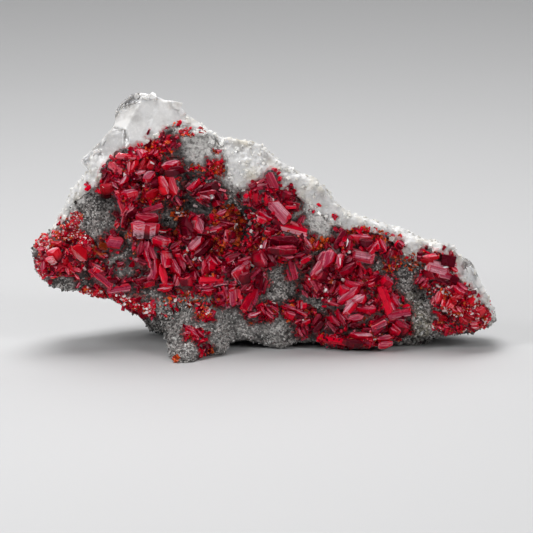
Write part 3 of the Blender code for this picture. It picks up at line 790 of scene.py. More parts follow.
# %% The larger crystals
CLUSTERS = {
    "realgar_left_end": (
        (55, 252, 14, 12, 20), (66, 256, 15, 6, 74), (80, 252, 20, 14, -40), (60, 266, 14, 7, 30),
        (51, 259, 16, 6, -45), (47, 266, 12, 10, 80), (69, 269, 10, 6, 105), (57, 244, 12, 8, 10),
        (76, 270, 11, 7, -30), (50, 273, 10, 6, 20), (66, 225, 13, 8, 60), (71, 236, 13, 8, -25),
        (82, 241, 11, 7, -35),
    ),
    "realgar_left_block": ((115, 242, 17, 13, -8), (104, 245, 10, 9, -15), (99, 252, 17, 5, -33)),
    "realgar_left_bars": (
        (101, 278, 30, 7, -40), (119, 289, 25, 8, 10), (97, 266, 13, 6, -30), (98, 293, 15, 7, -12),
        (123, 301, 18, 6, -22), (135, 306, 14, 6, -15), (147, 309, 14, 9, 5),
    ),
    "realgar_left_column": (
        (155, 141, 27, 6, 22), (154, 152, 15, 8, 10), (171, 147, 15, 5, 38), (127, 156, 21, 7, -5),
        (144, 164, 16, 11, 60), (142, 154, 11, 8, 110), (153, 165, 13, 5, -70), (131, 168, 15, 7, 85),
        (116, 168, 17, 9, -45), (111, 176, 19, 6, -30), (107, 187, 13, 12, 10), (125, 181, 13, 9, 50),
        (117, 181, 12, 8, -30), (151, 178, 14, 14, 30), (141, 173, 12, 8, 15), (130, 194, 18, 10, 5),
        (118, 192, 10, 7, -20), (172, 166, 20, 10, 15), (171, 185, 22, 14, -70), (177, 200, 13, 6, -60),
        (154, 193, 15, 10, 20), (124, 208, 20, 6, -68), (150, 209, 27, 6, 18), (147, 219, 24, 15, -5),
        (132, 212, 13, 8, 30), (124, 221, 14, 5, 80),
    ),
    "realgar_left_tail": (
        (139, 233, 15, 6, 12), (160, 240, 20, 13, -15), (143, 247, 16, 11, 80), (151, 251, 23, 8, -70),
        (142, 262, 17, 12, -12), (157, 266, 26, 12, 88), (143, 280, 20, 7, 12), (153, 277, 13, 8, 40),
    ),
    "realgar_top_fleck": ((216, 168, 14, 9, -20),),
    "realgar_upper_middle": (
        (195, 186, 16, 10, 40), (208, 187, 24, 9, 20), (204, 196, 15, 9, -30), (219, 197, 12, 7, -60),
    ),
    "realgar_centre": (
        (198, 225, 18, 14, -75), (186, 231, 19, 6, 42), (177, 244, 17, 7, 38), (196, 244, 20, 12, 45),
        (214, 229, 15, 7, 10), (226, 221, 17, 8, 0), (222, 213, 11, 8, 20), (226, 237, 14, 8, 85),
        (189, 260, 19, 7, -62), (180, 262, 18, 10, -75), (200, 259, 11, 6, -60), (208, 259, 12, 6, 55),
        (205, 267, 14, 10, 90), (217, 259, 15, 6, -45), (233, 257, 18, 7, 18), (222, 272, 20, 6, 20),
        (211, 280, 25, 8, 2), (176, 280, 12, 6, 75), (167, 285, 15, 7, 0), (186, 281, 15, 12, 0),
        (206, 288, 16, 7, 5), (251, 277, 26, 5, 42), (259, 280, 18, 9, 80), (222, 298, 16, 7, -75),
        (233, 297, 18, 9, -85), (249, 299, 27, 8, 60), (245, 286, 14, 8, 50), (240, 272, 18, 14, 30),
        (246, 260, 14, 9, 20),
    ),
    "realgar_centre_right": (
        (272, 181, 18, 9, -65), (261, 187, 18, 7, 12), (247, 197, 13, 7, 80), (256, 198, 14, 8, 85),
        (268, 198, 12, 7, -50), (286, 195, 13, 9, -20), (292, 204, 16, 7, -10), (279, 211, 27, 13, -48),
        (266, 215, 16, 7, -30), (293, 230, 29, 8, -14), (272, 231, 13, 8, -15), (284, 241, 30, 13, -5),
        (267, 244, 13, 7, 70), (306, 243, 14, 8, -50), (275, 254, 15, 6, 45), (270, 256, 22, 13, -65),
        (301, 255, 17, 6, 18), (289, 252, 16, 10, 5), (293, 269, 21, 7, -75),
    ),
    "realgar_right": (
        (331, 258, 20, 15, 70), (319, 268, 22, 12, 55), (328, 272, 14, 6, -60), (340, 238, 18, 6, 58),
        (347, 243, 12, 5, 85), (360, 237, 22, 8, -5), (371, 246, 13, 7, 50), (382, 245, 15, 7, -65),
        (362, 256, 24, 12, -12), (359, 274, 14, 9, -75), (352, 284, 17, 12, -20), (334, 288, 13, 7, 60),
        (306, 287, 14, 8, -50), (317, 285, 16, 10, -60), (371, 281, 14, 6, 25), (394, 243, 16, 9, 35),
        (389, 254, 14, 6, 70), (345, 262, 16, 10, 20), (333, 304, 18, 7, -20), (350, 298, 26, 14, 40),
        (365, 308, 20, 8, -4), (341, 319, 20, 9, -65), (334, 325, 17, 9, -50), (319, 326, 16, 8, 50),
        (385, 299, 32, 10, -70), (387, 281, 13, 10, -40), (395, 302, 14, 8, -60), (398, 314, 26, 8, 10),
        (401, 326, 18, 12, -30), (379, 325, 18, 7, 28), (362, 335, 24, 10, -8), (384, 338, 17, 9, 5),
        (333, 340, 32, 7, -6), (362, 342, 26, 7, 0), (357, 318, 16, 10, 10),
    ),
    "realgar_star_left": ((255, 315, 15, 7, 20), (268, 310, 14, 7, -50)),
    "realgar_star_right": ((290, 309, 14, 7, -15), (300, 313, 17, 6, -25), (301, 320, 14, 6, 30)),
    "realgar_lower_drop": ((303, 332, 11, 8, -60),),
    "realgar_foot_rosette": ((191, 332, 12, 7, -20), (200, 335, 12, 7, -50)),
    "realgar_foot_bead": ((205, 350, 9, 8, 20),),
    "realgar_foot_druse": ((205, 314, 13, 10, 30),),
    "realgar_right_crystals": (
        (430, 256, 18, 7, 5), (446, 259, 15, 12, -40), (437, 267, 22, 12, -15), (447, 275, 20, 8, -15),
        (423, 279, 11, 7, 50), (430, 272, 14, 8, -65), (452, 283, 12, 7, 40),
    ),
    "realgar_right_druse": (
        (465, 291, 14, 8, -35), (457, 300, 18, 11, -30), (470, 303, 16, 9, -35), (447, 309, 18, 11, -30),
        (461, 313, 17, 10, 10), (478, 312, 16, 9, -40), (452, 323, 18, 9, -20), (470, 324, 18, 9, 10),
        (440, 297, 13, 9, 70),
    ),
}  # fmt: skip

# %% [markdown]
# The smaller ones that can still be told apart, in the same form. They stand among the larger crystals or
# alone on the rock.

# %% The smaller crystals
SMALL_ONES = {
    "realgar_left_end": ((42, 250, 8, 6, 0), (63, 273, 8, 4, 0)),
    "realgar_left_bars": ((112, 270, 9, 2, 65), (121, 264, 8, 4, 20), (78, 285, 6, 2, 60)),
    "realgar_left_column": (
        (126, 172, 10, 3, 70), (105, 177, 12, 5, 60), (118, 223, 9, 4, 45), (146, 222, 12, 4, -5),
        (131, 206, 8, 5, 60), (138, 231, 15, 3, 12), (160, 231, 14, 2, -10), (153, 153, 9, 6, 40),
    ),
    "realgar_upper_middle": ((211, 196, 8, 6, -50),),
    "realgar_centre": (
        (187, 238, 10, 6, -20), (212, 233, 8, 5, 0), (173, 259, 7, 5, -40), (177, 251, 10, 7, 10),
        (197, 274, 10, 6, -65), (174, 272, 9, 4, -5), (197, 288, 9, 5, -30), (233, 285, 9, 5, 5),
    ),
    "realgar_centre_right": (
        (253, 187, 9, 7, 20), (277, 243, 13, 4, 0), (284, 255, 9, 2, -35), (258, 236, 9, 6, 50),
        (313, 246, 10, 4, 65), (301, 220, 10, 3, 62),
    ),
    "realgar_right": (
        (333, 266, 8, 6, 50), (333, 282, 8, 5, 80), (326, 287, 14, 3, 52), (335, 293, 11, 5, 30),
        (313, 290, 14, 3, -70), (401, 243, 9, 6, -40), (400, 251, 10, 3, -65), (339, 303, 8, 4, -35),
        (350, 310, 13, 3, 0), (346, 316, 12, 6, -60), (396, 297, 8, 5, 0), (370, 328, 16, 3, 0),
    ),
    "realgar_star_right": ((299, 305, 9, 5, 88), (303, 309, 16, 3, -5)),
    "realgar_right_crystals": ((421, 254, 8, 6, 0), (454, 269, 9, 6, -40)),
    "realgar_right_druse": (
        (462, 287, 13, 8, -35), (470, 296, 12, 6, -40), (480, 310, 10, 7, 20), (466, 317, 11, 5, -25),
        (449, 303, 9, 6, 60), (486, 306, 7, 5, 70), (457, 294, 9, 5, 10), (474, 324, 9, 5, 5),
        (444, 317, 8, 5, -20), (458, 309, 9, 5, -50),
    ),
}  # fmt: skip

# %% [markdown]
# ## The realgar clusters
# Every cluster is one grown mass: a low crust that follows the rock, the larger crystals half sunk in it, up
# to four thinner crystals grown parallel beside each, and many small ones that fill the gaps. The crust is
# made of flat blobs that a voxel remesh melts into one skin, because blobs alone would show their seams.

# %% The crust of a cluster
BED_RISE = 0.7 * MM
BED_THICKNESS = 1.1 * MM
BED_MARGIN = 0.8 * MM
BED_BULGE = 0.08
BED_VOXEL = 0.44 * MM
BED_RELIEF = ((0.26, broken, 1.1, 9.2),)

# At these places a carpet of tiny crystals, or a plate, stands instead of the larger crystal, and the crust
# is smaller.
DRUSE_ONLY = {
    (66, 225), (71, 236), (82, 241), (98, 293), (123, 301), (135, 306), (147, 309), (205, 314), (216, 168),
    (457, 300), (470, 303), (447, 309), (461, 313), (478, 312), (452, 323), (470, 324), (154, 152),
    (205, 350), (446, 259),
}  # fmt: skip
DRUSE_CRUST = 0.5


def crust_of(name, crystals):
    """The massive realgar that a cluster's crystals grow from, following the rock."""
    bm = bmesh.new()
    for column, row, length, width, turn in crystals:
        half_length = 0.5 * length * COLUMN + BED_MARGIN
        half_width = 0.5 * width * COLUMN + BED_THICKNESS
        bulge = BED_BULGE * width * COLUMN + BED_THICKNESS
        half_sizes = Vector((half_length, half_width, bulge))
        if (column, row) in DRUSE_ONLY:
            half_sizes *= DRUSE_CRUST
        place = standing(column, row, turn, ground) @ Matrix.Diagonal((*half_sizes, 1))
        bmesh.ops.create_icosphere(bm, subdivisions=2, radius=1, matrix=place)
    made = remeshed(new_object(name, bm), BED_VOXEL, 1)
    return displaced(made, lambda point, _: relief_at(point, BED_RELIEF))


# %% [markdown]
# A few crystals lie along the rock as bars and blocks, and the rest stand. The photograph also tells a few
# of them apart by colour, so they have a tone of their own. All of these are named by their place.

# %% Crystals that are told apart
# The materials of a cluster, in the order in which it gets them.
RED, CRUST, ORANGE, BRIGHT = range(4)

# Slimmer crystals than this, and the ones at these places, lie along the rock.
SLIM = 0.34
BARS = {
    (115, 242), (104, 245), (362, 256), (222, 298), (233, 297), (259, 280), (116, 168), (153, 165),
    (272, 181), (261, 187), (256, 198), (247, 197), (275, 254), (379, 325), (447, 275), (437, 267),
    (80, 252), (60, 266), (317, 285), (334, 325), (319, 326), (186, 281), (279, 211),
}  # fmt: skip
OCHRE = {(104, 245), (99, 252)}
ALONE = {(115, 242), (104, 245), (99, 252)}

# The share of bright crystals in these clusters, and the tone of single crystals, from dark to light.
BRIGHT_CLUSTERS = {
    "realgar_left_end": 0.45,
    "realgar_left_column": 0.3,
    "realgar_right_druse": 0.6,
    "realgar_right_crystals": 0.3,
}
TONES = {
    (437, 267): 0.95, (447, 275): 0.9, (362, 256): 0.9, (115, 242): 0.75, (279, 211): 0.85,
    (147, 219): 0.45, (66, 256): 0.8, (80, 252): 0.3, (127, 156): 1.0, (142, 154): 1.0, (130, 194): 0.85,
    (177, 200): 0.95,
}  # fmt: skip
print("told apart", len(BARS), "bars and", len(TONES), "tones")

# %% [markdown]
# A crystal seldom grows alone, so each large one gets companions: thinner ones beside it that point almost
# the same way. Copies of one shape would look stamped, so every companion is a new crystal.

# %% A crystal and its companions
MOST_DIP = 0.4
DIP_COLUMNS = 3.2
LYING_RISE = 0.12
STANDING_RISE = 0.6
STANDING_SHIFT = 0.22
LEAN = (-1.0, -0.3)
COMPANIONS = 4
COMPANION_WIDTH = (0.4, 0.85)
COMPANION_LENGTH = (0.55, 0.95)
COMPANION_AWAY = (0.4, 0.8)
COMPANION_SHIFT = 0.35
COMPANION_SINK = (0.1, 0.4)
COMPANION_TURN = 0.3
COMPANION_TONE = 0.2


def add_grown(heap, bright, column, row, length, width, turn):
    """One of the larger crystals with the thinner ones that grow parallel to it."""
    rng = random.Random(f"{column} {row}")
    long, wide = length * COLUMN, width * COLUMN
    lying = crystal(long, wide, rng)
    dip = rng.uniform(-1, 1) * min(MOST_DIP, DIP_COLUMNS / length)
    base = standing(column, row, turn, ground)
    tone = TONES.get((column, row), rng.random())
    kind = BRIGHT if random.Random(column * row).random() < bright else RED
    kind = ORANGE if (column, row) in OCHRE else kind
    if (column, row) in BARS or width / length < SLIM:
        lift = Matrix.Translation((0, 0, LYING_RISE * wide + BED_RISE))
        place = base @ lift @ Matrix.Rotation(dip, 4, "Y")
        one, shape = lying, crystal
    else:
        lying.free()
        lift = Matrix.Translation((0, STANDING_SHIFT * wide, STANDING_RISE * wide + BED_RISE))
        lean = Matrix.Rotation(dip, 4, "Y") @ Matrix.Rotation(rng.uniform(*LEAN), 4, "X")
        place = base @ lift @ lean
        one, shape = column_crystal(long, wide, rng), column_crystal
    heap.add_bmesh(grown(one, wide, rng), place, tone, kind)
    for _ in range(0 if (column, row) in ALONE else rng.randint(1, COMPANIONS)):
        slim = rng.uniform(*COMPANION_WIDTH) * wide
        beside = grown(shape(rng.uniform(*COMPANION_LENGTH) * long, slim, rng), slim, rng)
        away = rng.choice((-1, 1)) * rng.uniform(*COMPANION_AWAY) * wide
        shift = rng.uniform(-COMPANION_SHIFT, COMPANION_SHIFT) * long
        aside = place @ Matrix.Translation((shift, away, -rng.uniform(*COMPANION_SINK) * wide))
        about_z = Matrix.Rotation(rng.uniform(-COMPANION_TURN, COMPANION_TURN), 4, "Z")
        about_x = Matrix.Rotation(rng.uniform(-COMPANION_TURN, COMPANION_TURN), 4, "X")
        heap.add_bmesh(beside, aside @ (about_z @ about_x), (tone + COMPANION_TONE) % 1, kind)


# %% [markdown]
# Thousands of tiny crystals fill the gaps. Each is a copy of one of four splinters, prisms whose ends are cut
# on one side, because a shape that is repeated so often must have few faces.

# %% Splinters
SPLINTER_WIDTHS = (0.3, 0.4, 0.5, 0.62)
SPLINTERS = [
    shape_of(crystal(1, width, random.Random(f"splinter {width}"), (1,))) for width in SPLINTER_WIDTHS
]
SPLINTER_OUTWARD = 0.7
LIGHTEST_TONE = 1.35
TONE_PER_MM = 0.3
FILLERS = 10
ORANGE_FILLERS = 0.15
FILLER_REACH = (0.7, 1.5)
FILLER_GAP = 1.5
SMALLEST_FILLER = 0.8
LARGEST_FILLER = {RED: 2.6, ORANGE: 1.5}


def any_direction(rng):
    """A vector whose direction is left to chance."""
    return Vector((rng.gauss(0, 1), rng.gauss(0, 1), rng.gauss(0, 1)))


def add_splinter(heap, hit, out, size, rng, kind=0):
    """A small crystal that leans its own way out of the surface, darker where it is larger."""
    tilted = Vector((rng.uniform(-1, 1), rng.uniform(-1, 1), rng.uniform(-1, 1)))
    along = (tilted + SPLINTER_OUTWARD * out * rng.random()).normalized()
    place = frame_at(hit, along, any_direction(rng).normalized())
    points, faces, tops = rng.choice(SPLINTERS)
    tone = rng.uniform(0.0, LIGHTEST_TONE - TONE_PER_MM * size / MM)
    heap.add(points * size, faces, tops, place, tone, kind)


def add_fillers(heap, crystals, surface):
    """Small crystals at random around the larger ones."""
    rng = random.Random(str(crystals))
    for column, row, length, width, turn in crystals:
        for _ in range(FILLERS):
            angle = rng.uniform(0, 2 * math.pi)
            reach = 0.5 * math.sqrt(length * width) * rng.uniform(*FILLER_REACH) + FILLER_GAP
            hit, out = seat(column + reach * math.cos(angle), row + reach * math.sin(angle), surface)
            kind = ORANGE if rng.random() < ORANGE_FILLERS else RED
            size = rng.uniform(SMALLEST_FILLER, LARGEST_FILLER[kind]) * MM
            add_splinter(heap, hit, out, size, rng, kind)


# %% The crusts
# The small crystals stand on the stones and on the crusts, so all of these make one surface for the rays.
crust_mesh = bmesh.new()
for solid in ("matrix_rock", "calcite_layer"):
    crust_mesh.from_mesh(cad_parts[solid].data)
crusts = {name: crust_of(name + "_crust", crystals) for name, crystals in CLUSTERS.items()}
for crust in crusts.values():
    crust_mesh.from_mesh(crust.data)
crusted = BVHTree.FromBMesh(crust_mesh)
crust_mesh.free()
print("crusts", len(crusts))

# %% [markdown]
# At the right, two crystals each show a flat, dark side that is almost a square. A prism that leans out of
# the rock can't look like that, so these are thick plates. After them, each cluster is put together from its
# crust, its crystals, its plates and its fillers.

# %% Plates, and whole clusters
PLATES = {"realgar_right_crystals": ((448, 260, 14, 11, -12), (455, 279, 8, 7, -35))}
PLATE_THICKNESS = 0.35
PLATE_EDGE = 0.05
PLATE_RISE = 1.5 * MM
PLATE_TONE = -0.4
CRUST_TONE = 0.3


def plate(length, width):
    """A thick plate in the plane of X and Y."""
    bm = bmesh.new()
    bmesh.ops.create_cube(bm, size=1)
    bmesh.ops.scale(bm, vec=(length, width, PLATE_THICKNESS * width), verts=bm.verts)
    return bevelled(bm, bm.edges[:], PLATE_EDGE * width)


def cluster(name):
    """One grown mass of realgar as one mesh."""
    heap = Heap()
    bm = bmesh.new()
    bm.from_mesh(crusts[name].data)
    heap.add_bmesh(bm, Matrix.Identity(4), CRUST_TONE, CRUST)
    bpy.data.objects.remove(crusts[name])
    for entry in CLUSTERS[name] + SMALL_ONES.get(name, ()):
        if entry[:2] not in DRUSE_ONLY:
            add_grown(heap, BRIGHT_CLUSTERS.get(name, 0), *entry)
    for column, row, length, width, turn in PLATES.get(name, ()):
        place = standing(column, row, turn, ground) @ Matrix.Translation((0, 0, PLATE_RISE))
        heap.add_bmesh(plate(length * COLUMN, width * COLUMN), place, PLATE_TONE)
    add_fillers(heap, CLUSTERS[name], crusted)
    return heap.made(name.replace("realgar_", "") + "_crystals")


realgar_pieces = {}
for name in CLUSTERS:
    realgar_pieces[name] = cluster(name)
    print(name, triangles(realgar_pieces[name]), "triangles")

# %% [markdown]
# ## Druses
# Elsewhere the realgar is a carpet of tiny crystals, some of them altered to orange. Each carpet is an oval
# on the face: its middle's column and row, its half width and half height in columns, its turn, how many
# crystals it has, their size in millimetres, and the share that is orange. In some places most are bright.
# Nobody could place so many by hand, and in a carpet no single one is recognised.

# %% Carpets of tiny crystals
DRUSES = (
    (74, 221, 10, 8, 50, 190, 0.8, 0.12), (69, 234, 17, 8, -10, 260, 0.8, 0.12),
    (88, 246, 12, 7, -60, 130, 0.9, 0.1), (60, 262, 26, 14, 0, 220, 0.9, 0.1),
    (45, 258, 8, 12, 0, 90, 0.8, 0.1), (44, 243, 9, 12, 35, 170, 1.0, 0.1), (43, 270, 5, 9, 15, 60, 0.8, 0.1),
    (93, 293, 13, 5, -15, 130, 1.0, 0.2), (126, 302, 15, 4, -27, 170, 1.0, 0.15),
    (147, 309, 8, 6, 0, 120, 1.0, 0.05), (457, 302, 20, 14, -30, 520, 1.1, 0.25),
    (477, 314, 16, 12, -35, 340, 1.0, 0.2), (452, 326, 20, 8, 0, 160, 0.9, 0.1),
    (370, 234, 24, 7, -8, 170, 0.9, 0.6), (412, 262, 7, 9, 0, 60, 1.0, 0.7),
    (318, 243, 13, 6, 10, 44, 1.3, 0.9), (135, 236, 9, 5, 0, 40, 1.0, 0.8),
    (152, 194, 14, 11, 0, 110, 1.1, 0.5), (228, 225, 16, 20, 0, 230, 1.4, 0.7),
    (338, 286, 30, 18, 0, 210, 1.6, 0.05), (370, 292, 20, 22, 0, 130, 1.6, 0.05),
    (200, 250, 40, 34, 0, 330, 1.6, 0.1), (135, 180, 26, 26, 0, 150, 1.5, 0.2),
    (275, 215, 20, 30, -20, 130, 1.5, 0.1), (200, 299, 38, 8, 0, 120, 1.1, 0.35),
    (248, 262, 10, 9, 0, 80, 0.8, 0.1), (251, 222, 10, 13, 0, 55, 1.4, 0.15),
    (250, 246, 13, 8, 0, 110, 1.3, 0.3), (214, 247, 12, 9, 0, 95, 1.3, 0.35),
    (180, 214, 9, 8, 0, 40, 1.2, 0.5), (205, 314, 8, 7, 0, 80, 1.0, 0.3),
    (195, 334, 10, 6, -20, 40, 1.0, 0.1), (268, 311, 11, 10, 0, 90, 1.0, 0.2),
    (299, 313, 17, 11, 0, 130, 1.0, 0.2), (303, 332, 5, 6, 0, 26, 1.0, 0.1),
    (216, 168, 9, 6, 0, 80, 1.2, 0.4), (196, 169, 9, 4, 0, 24, 1.0, 0.6),
    (158, 150, 15, 8, 22, 120, 1.3, 0.35), (178, 126, 5, 4, 0, 14, 1.1, 0.3),
    (187, 133, 7, 4, -10, 22, 1.1, 0.3), (202, 132, 5, 2, -25, 10, 1.3, 0.3),
    (216, 151, 4, 3, 0, 9, 1.1, 0.3), (333, 217, 3, 3, 0, 8, 1.0, 0.1), (315, 208, 6, 3, 20, 12, 0.9, 0.3),
    (391, 262, 10, 10, 0, 60, 1.0, 0.6), (440, 294, 12, 14, 0, 130, 0.9, 0.1),
    (89, 186, 3, 2, -50, 4, 1.4, 0.0), (205, 349, 5, 5, 0, 30, 1.0, 0.1), (177, 358, 4, 3, 0, 18, 0.8, 0.9),
    (170, 310, 8, 10, 60, 22, 0.9, 0.5), (340, 341, 24, 5, -5, 160, 1.1, 0.1),
    (378, 341, 24, 5, 8, 120, 1.1, 0.1), (110, 268, 16, 8, 0, 16, 1.1, 0.2),
)  # fmt: skip

# Apart from the orange ones, most crystals of these carpets are bright or are pale grains with a painted
# glint, and in the flecks below most are bright.
BRIGHT_DRUSES = (
    (74, 221), (69, 234), (88, 246), (45, 258), (43, 270), (44, 243), (93, 293), (126, 302), (147, 309),
    (457, 302), (477, 314),
)  # fmt: skip
BRIGHT_FLECKS = (
    (158, 150), (216, 168), (178, 126), (187, 133), (202, 132), (370, 234), (216, 151), (333, 217),
)  # fmt: skip
BRIGHT_SHARE = 0.62
GLINT_SHARE = 0.26
SPARK_SHARE = 0.04
DRUSE_SIZES = (0.5, 1.6)
DRUSE_SEED = 5

# The materials of the carpets, in the order in which they get them.
DRUSE_RED, DRUSE_ORANGE, DRUSE_BRIGHT, DRUSE_GLINT = range(4)
BRIGHT_KINDS = (DRUSE_RED, DRUSE_BRIGHT, DRUSE_GLINT)
BRIGHT_WEIGHTS = (1 - BRIGHT_SHARE - GLINT_SHARE, BRIGHT_SHARE, GLINT_SHARE)


def kind_in(place, orange, rng):
    """The material of the next tiny crystal in the carpet with its middle at this place."""
    if rng.random() < orange:
        return DRUSE_ORANGE
    if place in BRIGHT_DRUSES:
        return rng.choices(BRIGHT_KINDS, BRIGHT_WEIGHTS)[0]
    if place in BRIGHT_FLECKS:
        return DRUSE_BRIGHT if rng.random() < BRIGHT_SHARE else DRUSE_RED
    return DRUSE_GLINT if rng.random() < SPARK_SHARE else DRUSE_RED


druse_heap = Heap()
rng = random.Random(DRUSE_SEED)
for column, row, half_width, half_height, turn, count, size, orange in DRUSES:
    slant = math.radians(turn)
    for _ in range(count):
        away, angle = math.sqrt(rng.random()), rng.uniform(0, 2 * math.pi)
        x, y = half_width * away * math.cos(angle), half_height * away * math.sin(angle)
        spot_column = column + x * math.cos(slant) - y * math.sin(slant)
        spot_row = row - x * math.sin(slant) - y * math.cos(slant)
        hit, out = seat(spot_column, spot_row, crusted)
        kind = kind_in((column, row), orange, rng)
        add_splinter(druse_heap, hit, out, size * rng.uniform(*DRUSE_SIZES) * MM, rng, kind)
print("carpets", len(DRUSES))

# %% Single sparks
# Pale grains with a painted glint, which sparkle in the dark hollows, in the same piece as the carpets.
SPARK_LIFT = 0.4 * MM
SPARK_SIZES = (1.0, 1.5)
SPARKS = (
    (253, 213), (258, 216), (255, 219), (262, 218), (236, 227), (235, 224), (210, 195), (212, 198),
    (178, 213), (183, 212), (181, 216), (249, 262), (252, 265), (84, 268), (240, 209), (206, 232), (222, 262),
    (196, 206), (300, 262), (349, 252), (311, 279), (323, 300), (378, 262), (150, 231), (163, 181),
    (146, 186), (426, 268),
)  # fmt: skip
for spot in SPARKS:
    hit, out = seat(*spot, crusted)
    size = rng.uniform(*SPARK_SIZES) * MM
    add_splinter(druse_heap, hit + SPARK_LIFT * out, out, size, rng, DRUSE_GLINT)
druse = druse_heap.made("realgar_druse")
print("druse", triangles(druse), "triangles")

# %% [markdown]
# ## Faces that flash
# A few faces stand so that they mirror a lamp and look almost white. Turning a crystal until it mirrors a
# panel would take many tries, so a ray through each of their places finds the face, and its tone is set
# beyond all others, which the finish turns into a painted flash. Faces that are too large for that only get
# a painted pale sheen.

# %% Flashes
FLASHES = (
    (211, 196), (212, 198), (136, 231), (141, 231), (155, 231), (160, 231), (181, 212), (235, 227),
    (212, 232), (346, 242), (347, 245), (333, 282), (326, 290), (358, 252), (84, 268), (55, 249), (131, 161),
    (152, 163), (105, 188), (433, 262), (444, 272), (300, 232), (199, 258), (284, 212), (392, 243),
    (371, 300), (349, 300), (340, 262),
)  # fmt: skip
FLASH = 2.0
SHEEN_TONE = 1.1
LARGEST_FLASH = 1.6 * MM**2

bpy.context.view_layer.update()
flashed = 0
for column, row in FLASHES:
    start = ray_start(column, row)
    hits = []
    for piece in (*realgar_pieces.values(), druse):
        found, spot, _, index = piece.ray_cast(start, SIGHT)
        if found:
            hits.append(((spot - start).length, piece.name, index))
    if hits:
        _, piece_name, index = min(hits)
        hit_mesh = bpy.data.objects[piece_name].data
        small = hit_mesh.polygons[index].area < LARGEST_FLASH
        hit_mesh.attributes["tone"].data[index].value = FLASH if small else SHEEN_TONE
        flashed += small
print("faces that flash", flashed)

# %% [markdown]
# ## The finish of realgar
# Realgar is blood red through and through, and light that enters comes out again as brighter red at thin
# edges. It mirrors its surroundings more strongly than glass, but between these pale panels such an index of
# refraction would wash the red out. So the index is low, what is mirrored is tinted red, and the pale sheen
# of the end faces is painted, as are pale sheen lines on some other faces and the flashes. Deep down, where
# crystals crowd together, each one is painted darker as shade. Fine lines run along each crystal, drawn from
# the place that every point has inside its own crystal.

# %% Realgar
REALGAR = {
    "ior": 1.42,
    "subsurface_weight": 0.2,
    "subsurface_scale": 0.6 * MM,
    "subsurface_radius": (1.0, 0.04, 0.04),
    "specular_tint": (1.0, 0.4, 0.5, 1),
    "transmission_weight": 0.2,
}
LENGTHWAYS = (0.05, 1.0, 1.0)
# The colours of the painted shade deep in a crystal and of a painted flash.
DEPTH_SHADE_RED = (0.015, 0.0, 0.001)
FLASH_WHITE = (0.95, 0.88, 0.90)


def red_finish(name, dark, light, end_sheen, sheen_line):
    """A glassy red, dark or light by crystal, with painted shade in its depth and painted sheen on its
    striated ends.
    """
    made = Finish(name, **REALGAR)
    inside = made.own("inside", "Vector")
    stretched = made.node("ShaderNodeVectorMath", {"operation": "MULTIPLY"}, {0: inside, 1: LENGTHWAYS})
    striae = made.clouds(0.5 * MM, 5, stretched)
    veils = made.clouds(1.6 * MM, 3)
    top, tone = made.own("top"), made.own("tone")
    body = made.mix(dark, light, made.between(tone + veils * 0.5, 0.25, 1.2))
    # Painted sheen: the end faces are paler, with pale and dark lines along the striae.
    sheened_ends = made.mix(end_sheen, sheen_line, made.between(striae, 0.46, 0.72) * 0.8)
    sheened_ends = made.mix(sheened_ends, dark, made.between(striae, 0.48, 0.32) * 0.5)
    depth = made.node("ShaderNodeSeparateXYZ", {}, {0: inside}, 2)
    # Painted shade: each crystal darkens towards its depth, where the crystals crowd together.
    body = made.mix(body, DEPTH_SHADE_RED, made.between(depth, -1.0 * MM, -3.4 * MM) * 0.95)
    both = made.mix(body, sheened_ends, top * made.between(tone, 0.0, 0.75) * 0.95)
    # Painted sheen lines on the faces with the highest tones, as if they mirrored a panel.
    both = made.mix(both, sheen_line, made.between(tone, 0.92, 1.08) * made.between(striae, 0.3, 0.6) * 0.8)
    # A painted flash on the faces whose tone was set beyond all others.
    made.colour(made.mix(both, FLASH_WHITE, made.between(tone, 1.4, 1.6)))
    made.roughness(0.10 + made.between(veils, 0.35, 0.8) * 0.15 + top * 0.12)
    made.relief(striae, 0.05 * MM)
    return made.material


# Each red: its dark and light body colours, the painted sheen of its end faces and its painted sheen lines.
realgar = red_finish(
    "realgar", (0.10, 0.0, 0.007), (0.92, 0.001, 0.028), (0.44, 0.035, 0.092), (0.90, 0.52, 0.61)
)
orange_realgar = red_finish(
    "orange realgar", (0.22, 0.03, 0.006), (1.0, 0.13, 0.02), (0.70, 0.12, 0.05), (0.85, 0.40, 0.20)
)
bright_realgar = red_finish(
    "bright realgar", (0.40, 0.001, 0.008), (1.0, 0.012, 0.03), (0.74, 0.07, 0.13), (0.95, 0.72, 0.76)
)
print("reds", realgar.name, orange_realgar.name, bright_realgar.name)

# %% [markdown]
# The crust that carries the crystals is painted nearly black between them as shade, with patches of its own
# dark red and orange.
# Single pale grains in the carpets are painted glints, which stand for tiny faces that mirror a lamp.

# %% The crust, and the pale grains of painted glints
# Painted glints: these grains are coloured nearly white.
glint_grains = Finish("pale grains", ior=1.5)
glint_grains.colour(glint_grains.mix((0.55, 0.38, 0.38), (0.97, 0.90, 0.90), glint_grains.own("tone")))
glint_grains.roughness(0.15 + glint_grains.clouds(0.6 * MM) * 0.3)

crusty = Finish(
    "realgar crust",
    ior=1.7,
    subsurface_weight=0.3,
    subsurface_scale=0.6 * MM,
    subsurface_radius=(1.0, 0.06, 0.05),
)
patches = crusty.clouds(2.2 * MM, 3)
# Painted shade: nearly black between the crystals, mixed with the crust's own dark red and orange.
crust_shade_and_red = crusty.mix((0.008, 0.0, 0.0005), (0.09, 0.0005, 0.004), crusty.between(patches, 0.4, 0.65))
crusty.colour(crusty.mix(crust_shade_and_red, (0.16, 0.025, 0.005), crusty.between(patches, 0.62, 0.74) * 0.6))
crusty.roughness(0.22 + crusty.clouds(0.8 * MM) * 0.3)
crusty.relief(crusty.cells(0.7 * MM, "Distance"), 0.3 * MM)


def covered(piece, *materials):
    """Gives a piece these materials, in the order of its faces' kinds."""
    for material in materials:
        piece.data.materials.append(material)


